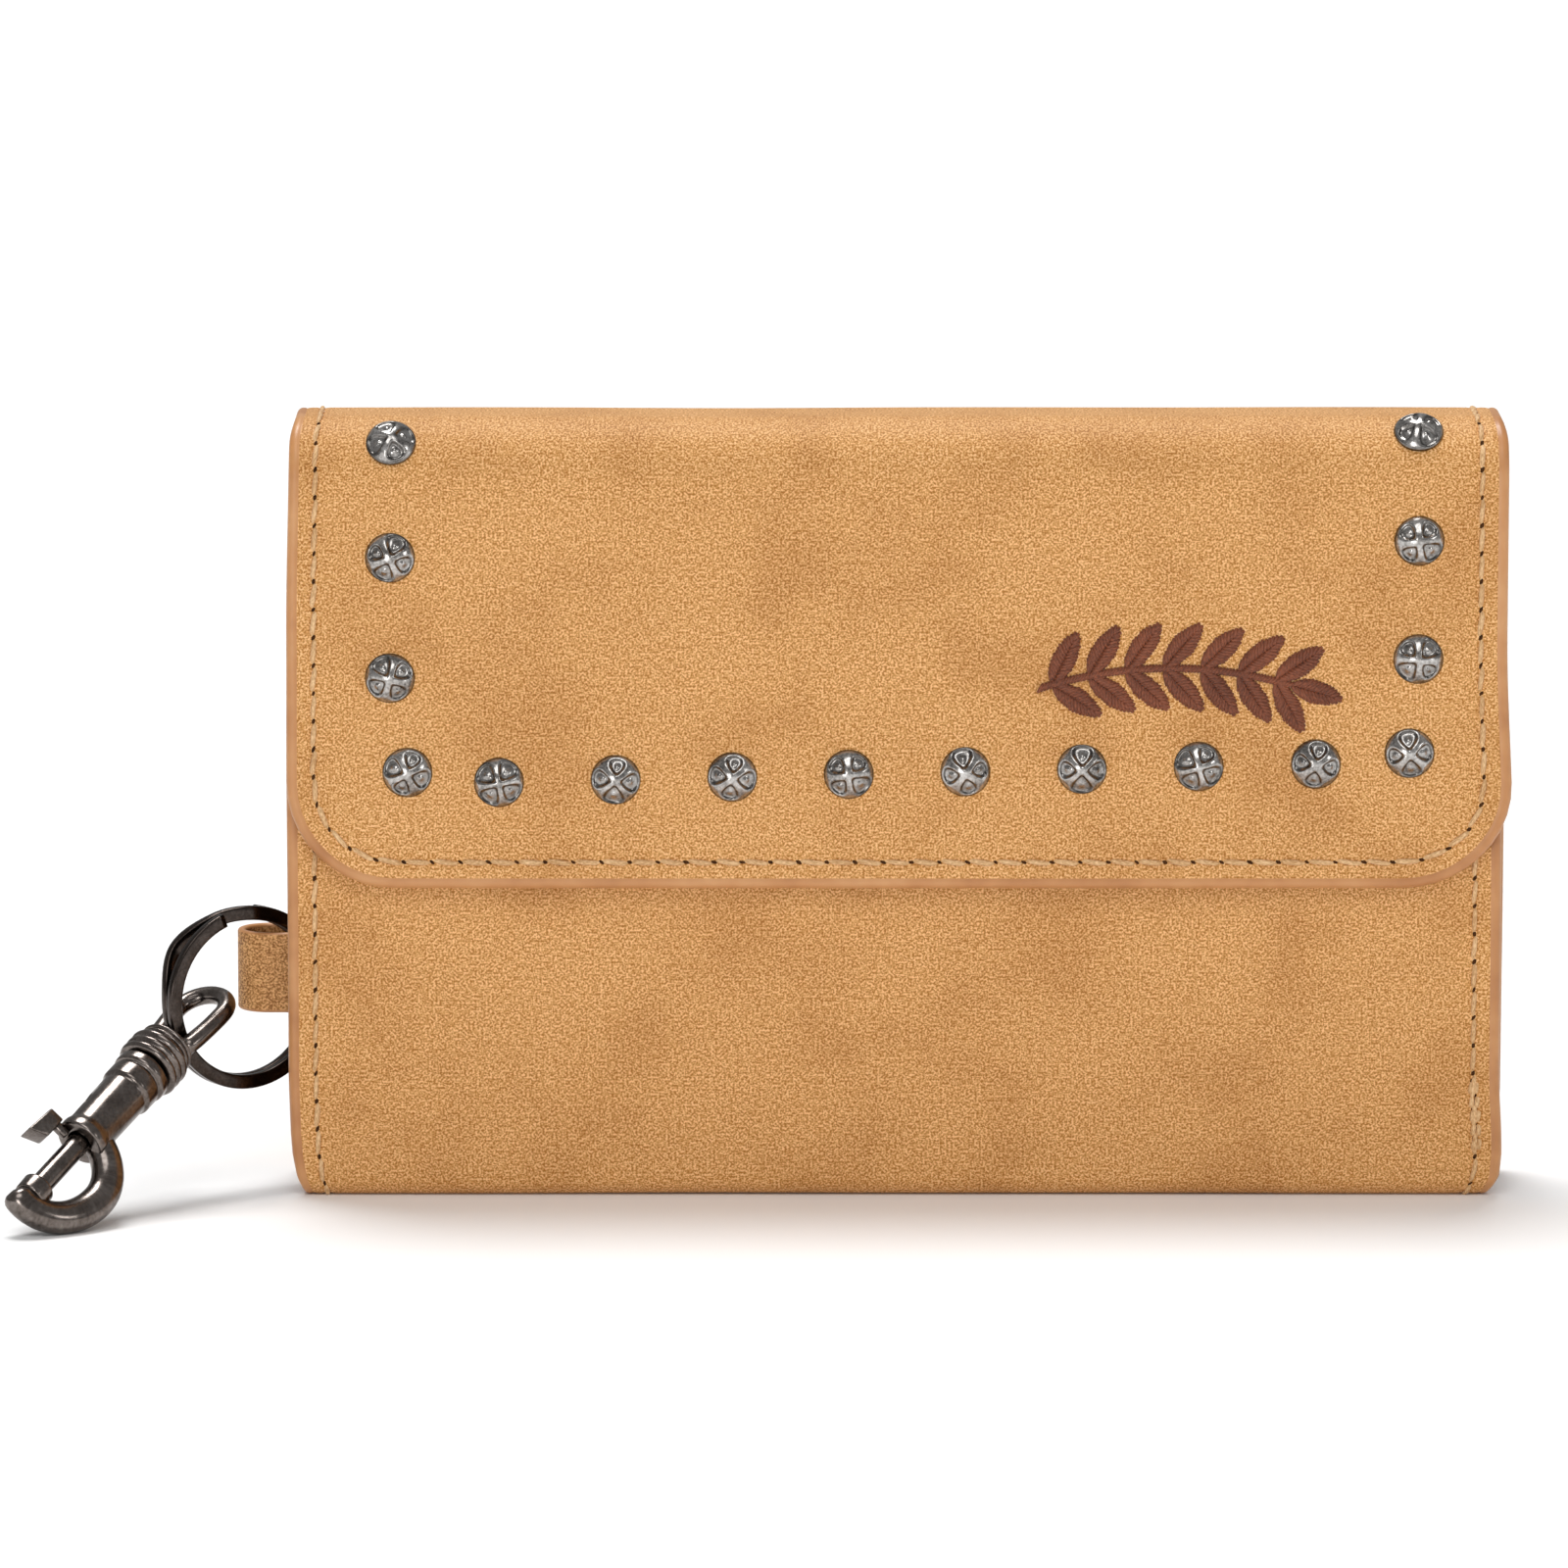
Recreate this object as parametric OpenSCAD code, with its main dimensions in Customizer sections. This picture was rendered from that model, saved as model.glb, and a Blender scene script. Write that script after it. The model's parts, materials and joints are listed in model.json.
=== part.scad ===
// Studded flap wallet with a key tab, a split ring and a swivel snap hook.
// It stands on its bottom spine: X is the width, -Y the front with the flap, Z is up.
// The origin is the middle of the flat bottom. All sizes are millimetres.

/* [Wallet] */
// Width of the wallet
wallet_w = 170; // [150:1:200]
// Height of the closed wallet
wallet_h = 110; // [104:1:130]
// Depth of the closed wallet, front of the flap to the back
wallet_d = 24; // [24:1:30]
// Radius of the two folds along the top
top_fold_r = 8; // [6:0.5:9]
// Radius of the two folds along the bottom
bottom_fold_r = 3; // [2.6:0.1:3.4]
// How far the front panel sits behind the front of the flap
front_inset = 3; // [3:0.1:4]

/* [Leather] */
// Thickness of the outer leather
leather_t = 1.2; // [0.8:0.1:1.4]
// Thickness of the bonded stiffener
board_t = 0.6; // [0.4:0.1:0.8]
// Thickness of the lining
lining_t = 0.5; // [0.3:0.1:0.6]
// Thickness of a pocket sheet
pocket_t = 0.6; // [0.4:0.1:0.8]
// Room in a pocket
pocket_gap = 0.8; // [0.6:0.1:1]

/* [Flap] */
// Height of the flap's lower edge above the floor
flap_low = 44.3; // [40:0.1:48]
// Corner radius of the flap
flap_corner_r = 15; // [8:0.5:22]
// Height of the magnetic clasp
clasp_z = 53; // [52:0.5:54]

/* [Studs] */
// Radius of a dome stud
stud_r = 3.5; // [2.5:0.1:4]
// Height of a dome stud
stud_h = 1.9; // [1.2:0.1:2.5]
// Number of studs in the bottom row
stud_count = 8; // [4:1:9]

/* [Front panel] */
// Height of the front panel's top edge, hidden by the flap
front_top = 66; // [60:1:66]
// Corner radius of the front panel
front_corner_r = 6; // [3:0.5:10]

/* [Pockets] */
// Width of the pockets inside
pocket_w = 150; // [140:1:150]
// Height that each card pocket is below the one behind it
pocket_step = 10; // [7:0.5:10]

/* [Key tab and ring] */
// Lowest height of the key tab
tab_z = 25; // [24:0.5:30]
// Width of the key tab strip
tab_w = 11.4; // [8:0.1:12]
// How far the key tab reaches past the wallet's edge
tab_reach = 7.8; // [6:0.1:9]
// Outside radius of the split ring
ring_r = 13; // [12:0.5:14]
// Radial width of the ring's wire
ring_wire = 2; // [1.6:0.1:2.2]
// Thickness of one turn of the ring
ring_turn = 1.3; // [1:0.05:1.4]

/* [Snap hook] */
// Radius of the hook's barrel
barrel_r = 3.5; // [3.2:0.05:3.6]
// Radius of the swivel's upper collar
collar_r = 4.2; // [3.9:0.05:4.4]
// Radius of the swivel's wide lower collars
wide_collar_r = 4.7; // [4.3:0.05:4.9]
// Radius of the wire of the eye
eye_wire_r = 1.3; // [1:0.05:1.4]
// Radius of the sliding bolt
bolt_r = 1.6; // [1.4:0.05:1.7]
// Radius of the hook's bend, at the middle of its section
hook_bend_r = 7.3; // [7.1:0.1:7.3]
// Radius of the hook's section at the bend
hook_section_r = 2.2; // [2:0.05:2.2]

/* [Hidden] */

$fn = 64;
far = 400;
half_w = wallet_w / 2;
half_d = wallet_d / 2;
fold_gap = 0.3;

// Depths of the three bonded layers below the outer surface
cover = [0, leather_t];
board = [leather_t, leather_t + board_t];
lining = [board[1], board[1] + lining_t];

// Centres of the four folds, as [y, z]
rear_low = [half_d - bottom_fold_r, bottom_fold_r];
front_y = -half_d + front_inset;
front_low = [front_y + bottom_fold_r, bottom_fold_r];
rear_top = [half_d - top_fold_r, wallet_h - top_fold_r];
front_arc = [-half_d + top_fold_r, wallet_h - top_fold_r];
flap_hinge_y = front_arc[0] + 1;
fold_half = fold_gap / 2;
top_half_angle = fold_half / top_fold_r * 180 / PI;
low_half_angle = fold_half / bottom_fold_r * 180 / PI;

// Pocket stack, from the back lining forwards
half_pocket = pocket_w / 2;
seam_w = 2.5;
strip_gap = 0.1;
back_face = half_d - lining[1];
divider_y = back_face - pocket_gap - pocket_t;
pouch_depth = 2.4;
pouch_low = 8;
pouch_top = 98;
pouch_y = divider_y - pouch_depth - pocket_t;
sheet_pitch = pocket_t + pocket_gap;
pocket_low = 4;
card_low = 9;
card_top = 78;
card_column_x = 15;
divider_top = 96;
front_pocket_top = 58;

// Pocket on the front panel and the window on it, as [x, z]: the frame, and the opening in it
front_pocket_y = front_y + lining[1] + pocket_gap;
window_y = front_pocket_y + sheet_pitch;
frame_low = [-60, pocket_low];
frame_high = [50, 52];
window_low = [-50, 13];
window_high = [40, 43];

// Zip across the coin pouch
zip_z = 87;
zip_half = 67;
zip_tape_t = 0.4;
zip_tape_reach = 7;
zip_chain = 1.6;
zip_window = 4;
tooth_pitch = 2;
slider_x = 60;
bail_y = pouch_y - 2.8;

// Clasp
clasp_r = 6.5;
nub_r = 2.2;

// Studs, as [x, z] on the flap's flat front
row_first_x = -55.5;
row_last_x = 58.2;
row_z = 62;
row_rise = 2.6;
side_studs = [[-70.6, 91], [-70.6, 74.1], [-68.2, 60.8], [72.5, 93.4], [72.5, 76.8], [71.1, 63.5]];
// Studs on the front-top fold, as [x, angle up from the front]
fold_studs = [[-70.6, 38], [72.5, 52]];
shank_r = 0.7;
shank_hole_r = 0.75;
burr_r = 1.6;
burr_t = 0.35;
burr_set = 0.1;
burr_back = lining[1] + burr_t - burr_set;

// Sprig of leaves
sprig_r = 60;
sprig_t = 0.45;
sprig_centre = [38, 75.5 - sprig_r];
sprig_angles = [74, 108];
leaf_size = [8.5, 3.4];
leaf_pitch = 5;
leaf_turn = 48;

// Key tab loop, seen from above
tab_t = 1.1;
tab_inner_r = 3.5;
tab_outer_r = tab_inner_r + tab_t;
tab_x = -half_w - tab_reach + tab_outer_r;
tab_y = 2.45;
tab_neck_x = -78.6;
tab_tail_y = [3.4, 5.6];

// Split ring
ring_centre = [-91.5, -2.5, 27.4];
ring_yaw = 33.5;
ring_mid_r = ring_r - ring_wire / 2;
ring_hang_angle = 202;
hang = ring_centre + ring_mid_r * [
    cos(ring_hang_angle) * cos(ring_yaw),
    cos(ring_hang_angle) * sin(ring_yaw),
    sin(ring_hang_angle)
];

// Snap hook, along its own axis from the ring (0) to the tip (negative)
hook_azimuth = 55.2;
hook_tilt = 62.3;
hook_roll = -38;
eye_top = 11;
eye_half_w = 3.9;
eye_base = -2;
collar_low = -4;
swivel_low = -8.5;
flange_top = -8.8;
flange_t = 1.5;
flange_r = 4.1;
band_low = -13.5;
band_h = 2.4;
band_r = 3.9;
mouth = -25.4;
bend_z = -31.2;
bend_angles = [-105, 74];
seat_z = -35.6;
seat_depth = 0.8;
seat_boss = 2.5;
rivet_bore_r = bolt_r + 0.06;
rivet_head_r = 2.4;
rivet_head_t = 0.9;
rivet_low = -11.1;
spring_top = -12;
bolt_top = -20.2;
guide_top = -21;
spring_bore_r = 2.3;
stem_z = -26;
stem_r = 0.78;
slot_half_w = 1.1;
knob_half_w = 1.6;
knob_outline = [[-3.9, 0.6], [-6.2, 0.6], [-6.6, -4.6], [-3.9, -3.2]];
bolt_travel = 6;
spring_wire = 0.22;
spring_mid_r = 1.35;
spring_turns = 5;

leather_colour = [0.78, 0.56, 0.33];
lining_colour = [0.42, 0.27, 0.16];
board_colour = [0.72, 0.68, 0.60];
metal_colour = [0.33, 0.31, 0.30];
stud_colour = [0.58, 0.57, 0.56];
thread_colour = [0.45, 0.20, 0.12];

// ---- Helpers ----

// A profile drawn as [y, z], drawn out along X between two places
module along_x(low, high) {
    translate([low, 0, 0]) rotate([90, 0, 90]) linear_extrude(high - low) children();
}

// An outline drawn as [x, z], drawn out towards the front from y by t
module along_front(y, t) {
    translate([0, y, 0]) rotate([90, 0, 0]) linear_extrude(t) children();
}

// A box between two corners
module block(low, high) {
    translate(low) cube(high - low);
}

// A rectangle between two corners
module patch(low, high) {
    translate(low) square(high - low);
}

// A bent band between two depths of a fold, between two angles
module fold_band(centre, r, depths, from_angle, to_angle) {
    mid = (from_angle + to_angle) / 2;
    translate(centre) intersection() {
        difference() {
            circle(r - depths[0]);
            circle(r - depths[1]);
        }
        polygon([
            [0, 0],
            2 * r * [cos(from_angle), sin(from_angle)],
            3 * r * [cos(mid), sin(mid)],
            2 * r * [cos(to_angle), sin(to_angle)]
        ]);
    }
}

// A rectangle with its two lower corners rounded
module round_low_patch(low, high, r) {
    patch([low[0], low[1] + r], high);
    patch([low[0] + r, low[1]], [high[0] - r, low[1] + r]);
    translate([low[0] + r, low[1] + r]) circle(r);
    translate([high[0] - r, low[1] + r]) circle(r);
}

// ---- The four leather panels, each as one layer between two depths ----

module back_layer(depths) {
    along_x(-half_w, half_w) {
        fold_band(front_low, bottom_fold_r, depths, 225 + low_half_angle, 270);
        patch([front_low[0], depths[0]], [rear_low[0], depths[1]]);
        fold_band(rear_low, bottom_fold_r, depths, 270, 360);
        patch([half_d - depths[1], rear_low[1]], [half_d - depths[0], rear_top[1]]);
        fold_band(rear_top, top_fold_r, depths, 0, 45 - top_half_angle);
    }
}

module top_layer(depths) {
    along_x(-half_w, half_w) {
        fold_band(rear_top, top_fold_r, depths, 45 + top_half_angle, 90);
        patch([flap_hinge_y + fold_half, wallet_h - depths[1]], [rear_top[0], wallet_h - depths[0]]);
    }
}

module flap_layer(depths) {
    intersection() {
        along_x(-half_w, half_w) {
            patch([front_arc[0], wallet_h - depths[1]], [flap_hinge_y - fold_half, wallet_h - depths[0]]);
            fold_band(front_arc, top_fold_r, depths, 90, 180);
            patch([-half_d + depths[0], flap_low], [-half_d + depths[1], front_arc[1]]);
        }
        along_front(half_d, 2 * half_d) round_low_patch([-half_w, flap_low], [half_w, far], flap_corner_r);
    }
}

module front_layer(depths) {
    intersection() {
        along_x(-half_w, half_w) {
            fold_band(front_low, bottom_fold_r, depths, 180, 225 - low_half_angle);
            patch([front_y + depths[0], front_low[1]], [front_y + depths[1], front_top]);
        }
        along_front(half_d, 2 * half_d) mirror([0, 1])
            round_low_patch([-half_w, -front_top], [half_w, far], front_corner_r);
    }
}

// ---- Pockets ----

// The turned edges, in the gap from y to y + pocket_gap, that hold a pocket sheet on three sides.
// A column seam at each of columns divides it
module seam_strips(y, low, high, columns = []) {
    sides = [low[0] + seam_w / 2, each columns, high[0] - seam_w / 2];
    for (x = sides)
        block([x - seam_w / 2, y, low[1]], [x + seam_w / 2, y + pocket_gap, high[1]]);
    for (i = [0 : len(sides) - 2])
        block(
            [sides[i] + seam_w / 2 + strip_gap, y, low[1]],
            [sides[i + 1] - seam_w / 2 - strip_gap, y + pocket_gap, low[1] + seam_w]
        );
}

module bill_divider() {
    color(lining_colour) block(
        [-half_pocket, divider_y, pocket_low],
        [half_pocket, divider_y + pocket_t, divider_top]
    );
}

module coin_pouch_gusset() {
    color(lining_colour) difference() {
        block([-half_pocket, divider_y - pouch_depth, pouch_low], [half_pocket, divider_y, pouch_top]);
        block(
            [-half_pocket + seam_w, -far, pouch_low + seam_w],
            [half_pocket - seam_w, far, pouch_top - seam_w]
        );
    }
}

module coin_pouch_front() {
    color(lining_colour) difference() {
        block([-half_pocket, pouch_y, pouch_low], [half_pocket, pouch_y + pocket_t, pouch_top]);
        block([-zip_half - 3, -far, zip_z - zip_window], [zip_half + 3, far, zip_z + zip_window]);
    }
}

module zip_tapes() {
    color("saddlebrown") for (side = [-1, 1]) {
        tape_low = side < 0 ? zip_z - zip_tape_reach : zip_z + zip_chain;
        tape_high = side < 0 ? zip_z - zip_chain : zip_z + zip_tape_reach;
        block(
            [-zip_half - 4, pouch_y + pocket_t, tape_low],
            [zip_half + 4, pouch_y + pocket_t + zip_tape_t, tape_high]
        );
    }
}

module zip_teeth() {
    chain_y = pouch_y + pocket_t;
    color("gray") {
        block(
            [-zip_half, chain_y - 0.2, zip_z - zip_chain],
            [zip_half, chain_y + zip_tape_t, zip_z + zip_chain]
        );
        for (i = [0 : floor(2 * zip_half / tooth_pitch) - 1]) {
            x = -zip_half + (i + 0.5) * tooth_pitch;
            shift = i % 2 == 0 ? -0.4 : 0.4;
            block([x - 0.5, chain_y - 0.8, zip_z + shift - 1], [x + 0.5, chain_y - 0.2, zip_z + shift + 1]);
        }
    }
}

module zip_stops() {
    color("gray") for (x = [-zip_half - 1, zip_half + 1])
        block(
            [x - 1, pouch_y - 0.3, zip_z - zip_chain],
            [x + 1, pouch_y + pocket_t + zip_tape_t, zip_z + zip_chain]
        );
}

module zip_slider() {
    plate_y = pouch_y - 0.6;
    color("silver") translate([slider_x, 0, zip_z]) {
        block([-4, plate_y - 1, -3.4], [4, plate_y, 3.4]);
        for (side = [-1, 1])
            block([-4, plate_y, side * 2.7 - 0.7], [4, pouch_y + 0.25, side * 2.7 + 0.7]);
        for (x = [-2.4, 2.4])
            block([x - 0.5, bail_y - 0.5, -0.6], [x + 0.5, plate_y - 1, 0.6]);
        translate([-2.4, bail_y, 0]) rotate([0, 90, 0]) cylinder(r = 0.5, h = 4.8);
    }
}

module zip_pull() {
    color("silver") translate([slider_x, bail_y, zip_z]) difference() {
        union() {
            translate([-1.4, 0, 0]) rotate([0, 90, 0]) cylinder(r = 1.1, h = 2.8);
            block([-1.4, -0.4, -7], [1.4, 0.4, 0]);
            translate([0, 0.4, -8]) rotate([90, 0, 0]) cylinder(r = 3, h = 0.8);
        }
        translate([-5, 0, 0]) rotate([0, 90, 0]) cylinder(r = 0.6, h = 10);
        translate([0, 5, -8]) rotate([90, 0, 0]) cylinder(r = 1.3, h = 10);
    }
}

function card_y(index) = pouch_y - index * sheet_pitch;
function card_high(index) = card_top - (index - 1) * pocket_step;

// One of the four card pockets, counted from the back
module card_slot(index) {
    color(leather_colour) block(
        [-half_pocket, card_y(index), card_low],
        [half_pocket, card_y(index) + pocket_t, card_high(index)]
    );
}

module pocket_seams() {
    color(leather_colour) {
        seam_strips(divider_y + pocket_t, [-half_pocket, pocket_low], [half_pocket, divider_top]);
        for (index = [1 : 4])
            seam_strips(
                card_y(index) + pocket_t,
                [-half_pocket, card_low],
                [half_pocket, card_high(index)],
                [card_column_x]
            );
    }
}

// ---- Back ----

module back_cover() {
    color(leather_colour) back_layer(cover);
}

module back_board() {
    color(board_colour) back_layer(board);
}

module back_lining() {
    color(lining_colour) back_layer(lining);
}

// ---- Top spine ----

module top_cover() {
    color(leather_colour) top_layer(cover);
}

module top_board() {
    color(board_colour) top_layer(board);
}

module top_lining() {
    color(lining_colour) top_layer(lining);
}

// ---- Flap ----

// Puts its children at every stud, with +Z out of the leather
module at_studs() {
    for (i = [0 : stud_count - 1]) {
        share = i / (stud_count - 1);
        x = row_first_x + share * (row_last_x - row_first_x);
        translate([x, -half_d, row_z - row_rise * (1 - share)]) rotate([90, 0, 0]) children();
    }
    for (place = side_studs)
        translate([place[0], -half_d, place[1]]) rotate([90, 0, 0]) children();
    for (place = fold_studs) {
        y = front_arc[0] - top_fold_r * cos(place[1]);
        z = front_arc[1] + top_fold_r * sin(place[1]);
        translate([place[0], y, z]) rotate([90 - place[1], 0, 0]) children();
    }
}

module stud_holes() {
    at_studs() translate([0, 0, -4]) cylinder(r = shank_hole_r, h = 8, $fn = 24);
}

// Shallow seats in the lining, which the washers are pressed into
module burr_seats() {
    at_studs() translate([0, 0, -burr_back - 1]) cylinder(r = burr_r + 0.05, h = burr_t + 1, $fn = 32);
}

module dome_studs() {
    sphere_r = (stud_r * stud_r + stud_h * stud_h) / (2 * stud_h);
    color(stud_colour) at_studs() {
        intersection() {
            translate([0, 0, stud_h - sphere_r]) sphere(sphere_r);
            cylinder(r = stud_r, h = stud_h);
        }
        translate([0, 0, -burr_back]) cylinder(r = shank_r, h = burr_back, $fn = 24);
    }
}

module stud_burrs() {
    color("gray") at_studs() difference() {
        translate([0, 0, -burr_back]) cylinder(r = burr_r, h = burr_t, $fn = 32);
        translate([0, 0, -4]) cylinder(r = shank_hole_r, h = 8, $fn = 24);
    }
}

// Room in the flap's inner layers for the clasp's plate
module clasp_room(r) {
    along_front(0, half_d - leather_t) translate([0, clasp_z]) circle(r);
}

module flap_cover() {
    color(leather_colour) difference() {
        flap_layer(cover);
        stud_holes();
    }
}

module flap_board() {
    color(board_colour) difference() {
        flap_layer(board);
        stud_holes();
        clasp_room(clasp_r);
    }
}

module flap_lining() {
    color(lining_colour) difference() {
        flap_layer(lining);
        stud_holes();
        burr_seats();
        clasp_room(clasp_r);
    }
}

module snap_stud() {
    plate_y = -half_d + leather_t;
    color("silver") translate([0, 0, clasp_z]) rotate([90, 0, 0]) {
        translate([0, 0, -plate_y - 1.25]) cylinder(r = clasp_r - 0.05, h = 1.25);
        translate([0, 0, -plate_y - 2.1]) cylinder(r = nub_r, h = 1);
    }
}

// A leaf of a given length and width, its stalk end at the origin
module leaf(length, width) {
    r = (length * length + width * width) / (4 * width);
    shift = r - width / 2;
    translate([length / 2, 0]) intersection() {
        translate([0, shift]) circle(r);
        translate([0, -shift]) circle(r);
    }
}

// Raised sprig of leaves worked in thread
module embroidery() {
    color(thread_colour) along_front(-half_d, sprig_t) {
        fold_band(sprig_centre, sprig_r, [-0.5, 0.5], sprig_angles[0], sprig_angles[1]);
        for (i = [-3 : 3]) {
            angle = 91 - i * leaf_pitch;
            foot = sprig_centre + sprig_r * [cos(angle), sin(angle)];
            for (side = [-1, 1])
                translate(foot) rotate(angle - 90 + side * leaf_turn) leaf(leaf_size[0], leaf_size[1]);
        }
        tip = sprig_angles[0];
        translate(sprig_centre + sprig_r * [cos(tip), sin(tip)])
            rotate(tip - 90) leaf(leaf_size[0] - 0.5, leaf_size[1]);
    }
}

// ---- Front panel ----

module front_cover() {
    color(leather_colour) difference() {
        front_layer(cover);
        clasp_room(clasp_r);
    }
}

module front_board() {
    color(board_colour) front_layer(board);
}

module front_lining() {
    color(lining_colour) front_layer(lining);
}

module snap_socket() {
    color("silver") translate([0, front_y + leather_t, clasp_z]) rotate([90, 0, 0]) difference() {
        cylinder(r = clasp_r - 0.05, h = leather_t);
        translate([0, 0, 0.3]) cylinder(r = nub_r + 0.6, h = leather_t);
    }
}

module front_pocket() {
    color(leather_colour) block(
        [-half_pocket, front_pocket_y, pocket_low],
        [half_pocket, front_pocket_y + pocket_t, front_pocket_top]
    );
}

module window_frame() {
    color(leather_colour) difference() {
        block(
            [frame_low[0], window_y, frame_low[1]],
            [frame_high[0], window_y + pocket_t, frame_high[1]]
        );
        block([window_low[0], -far, window_low[1]], [window_high[0], far, window_high[1]]);
    }
}

module front_pocket_seams() {
    color(leather_colour) {
        seam_strips(
            front_pocket_y - pocket_gap,
            [-half_pocket, pocket_low],
            [half_pocket, front_pocket_top]
        );
        seam_strips(window_y - pocket_gap, frame_low, frame_high);
    }
}

module window_film() {
    color([0.8, 0.85, 0.88, 0.5]) block(
        [window_low[0] - 3, window_y - 0.3, window_low[1] - 3],
        [window_high[0] + 3, window_y, window_high[1] + 3]
    );
}

// ---- Key tab and ring ----

// Area inside a key tab loop of radius r, whose sides meet at tail_x
module tab_area(r, tail_x, tail) {
    translate([tab_x, tab_y]) circle(r);
    patch([tab_x, tab_y - r], [tab_neck_x, tab_y + r]);
    polygon([[tab_neck_x, tab_y - r], [tail_x, tail[0]], [tail_x, tail[1]], [tab_neck_x, tab_y + r]]);
}

module key_tab() {
    color(leather_colour) translate([0, 0, tab_z]) linear_extrude(tab_w) difference() {
        tab_area(tab_outer_r, -half_pocket, tab_tail_y);
        tab_area(tab_inner_r, -half_pocket - 2.5, [4.4, 4.6]);
    }
}

// Two turns of flat wire, with a groove where they lie on each other
module split_ring() {
    color(metal_colour) translate(ring_centre) rotate([0, 0, ring_yaw]) rotate([90, 0, 0])
        rotate_extrude($fn = 128) difference() {
            patch([ring_r - ring_wire, -ring_turn], [ring_r, ring_turn]);
            for (x = [ring_r - ring_wire, ring_r])
                translate([x, 0]) rotate(45) square(0.5, center = true);
        }
}

// ---- Snap hook ----

// The hook's own frame: the ring's wire at the origin, the tip down its -Z
module hook_place(roll) {
    translate(hang) rotate([0, 0, hook_azimuth]) rotate([0, hook_tilt, 0]) rotate([0, 0, roll]) children();
}

module swivel_eye() {
    bend = eye_top - eye_wire_r - eye_half_w;
    color(metal_colour) hook_place(0) {
        translate([0, 0, bend]) rotate([0, 0, 90]) rotate([90, 0, 0]) intersection() {
            rotate_extrude() translate([eye_half_w, 0]) circle(eye_wire_r, $fn = 32);
            translate([-far / 2, 0, -far / 2]) cube(far);
        }
        for (side = [-1, 1])
            translate([0, side * eye_half_w, eye_base - 1]) cylinder(r = eye_wire_r, h = bend - eye_base + 1);
        translate([0, 0, collar_low]) cylinder(r = collar_r, h = eye_base - collar_low);
        difference() {
            translate([0, 0, swivel_low]) cylinder(r = wide_collar_r, h = collar_low - swivel_low);
            translate([0, 0, (collar_low + swivel_low) / 2])
                rotate_extrude() translate([wide_collar_r, 0]) circle(0.45, $fn = 24);
        }
        translate([0, 0, rivet_low + rivet_head_t]) cylinder(r = bolt_r, h = 2);
        translate([0, 0, rivet_low]) cylinder(r = rivet_head_r, h = rivet_head_t);
    }
}

// A bend of round wire in the XZ plane, between two angles
module wire_bend(r, section_r, from_angle, to_angle) {
    rotate([90, 0, 0]) rotate([0, 0, from_angle])
        rotate_extrude(angle = to_angle - from_angle) translate([r, 0]) circle(section_r, $fn = 32);
}

module hook_body() {
    color(metal_colour) hook_place(hook_roll) difference() {
        union() {
            translate([0, 0, mouth]) cylinder(r = barrel_r, h = flange_top - mouth);
            translate([0, 0, flange_top - flange_t]) cylinder(r = flange_r, h = flange_t);
            translate([0, 0, band_low]) cylinder(r = band_r, h = band_h);
            translate([0, 0, bend_z]) wire_bend(hook_bend_r, hook_section_r, bend_angles[0], bend_angles[1]);
            translate([0, 0, seat_z - seat_boss]) cylinder(r = seat_boss, h = seat_boss);
        }
        translate([0, 0, flange_top - 1]) cylinder(r = rivet_bore_r, h = 2);
        translate([0, 0, rivet_low - 0.3]) cylinder(r = rivet_head_r + 0.2, h = rivet_head_t + 0.7);
        translate([0, 0, guide_top]) cylinder(r = spring_bore_r, h = spring_top - guide_top);
        translate([0, 0, mouth - 5]) cylinder(r = rivet_bore_r, h = guide_top - mouth + 6);
        translate([0, 0, seat_z - seat_depth]) cylinder(r = bolt_r + 0.3, h = 10);
        block([-far, -slot_half_w, mouth - 1], [0, slot_half_w, stem_z + bolt_travel + slot_half_w + 0.2]);
    }
}

module bolt_rod() {
    color(metal_colour) hook_place(hook_roll) difference() {
        translate([0, 0, seat_z - seat_depth + 0.2])
            cylinder(r = bolt_r, h = bolt_top - seat_z + seat_depth - 0.2);
        translate([-10, 0, stem_z]) rotate([0, 90, 0]) cylinder(r = stem_r + 0.02, h = 10);
    }
}

// Ribbed thumb piece, on a stem that runs in the barrel's slot
module thumb_knob() {
    color(metal_colour) hook_place(hook_roll) {
        translate([-5, 0, stem_z]) rotate([0, 90, 0]) cylinder(r = stem_r, h = 5);
        rotate([90, 0, 0]) translate([0, stem_z, -knob_half_w]) linear_extrude(2 * knob_half_w)
            polygon(knob_outline);
    }
}

// A ring of points around a helix at a turn's angle, for the spring's surface
function helix_ring(t, rise) = [
    for (k = [0 : 7]) [
        (spring_mid_r + spring_wire * cos(k * 45)) * cos(t),
        (spring_mid_r + spring_wire * cos(k * 45)) * sin(t),
        t / 360 * rise + spring_wire * sin(k * 45)
    ]
];

module bolt_spring() {
    steps = spring_turns * 16;
    rise = (spring_top - bolt_top - 2 * spring_wire - 0.1) / spring_turns;
    points = [for (i = [0 : steps]) each helix_ring(i * 22.5, rise)];
    walls = [
        for (i = [0 : steps - 1], k = [0 : 7])
            [i * 8 + k, i * 8 + (k + 1) % 8, (i + 1) * 8 + (k + 1) % 8, (i + 1) * 8 + k]
    ];
    ends = [[for (k = [7 : -1 : 0]) k], [for (k = [0 : 7]) steps * 8 + k]];
    color("silver") hook_place(hook_roll) translate([0, 0, bolt_top + spring_wire + 0.05])
        polyhedron(points, concat(walls, ends));
}

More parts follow.
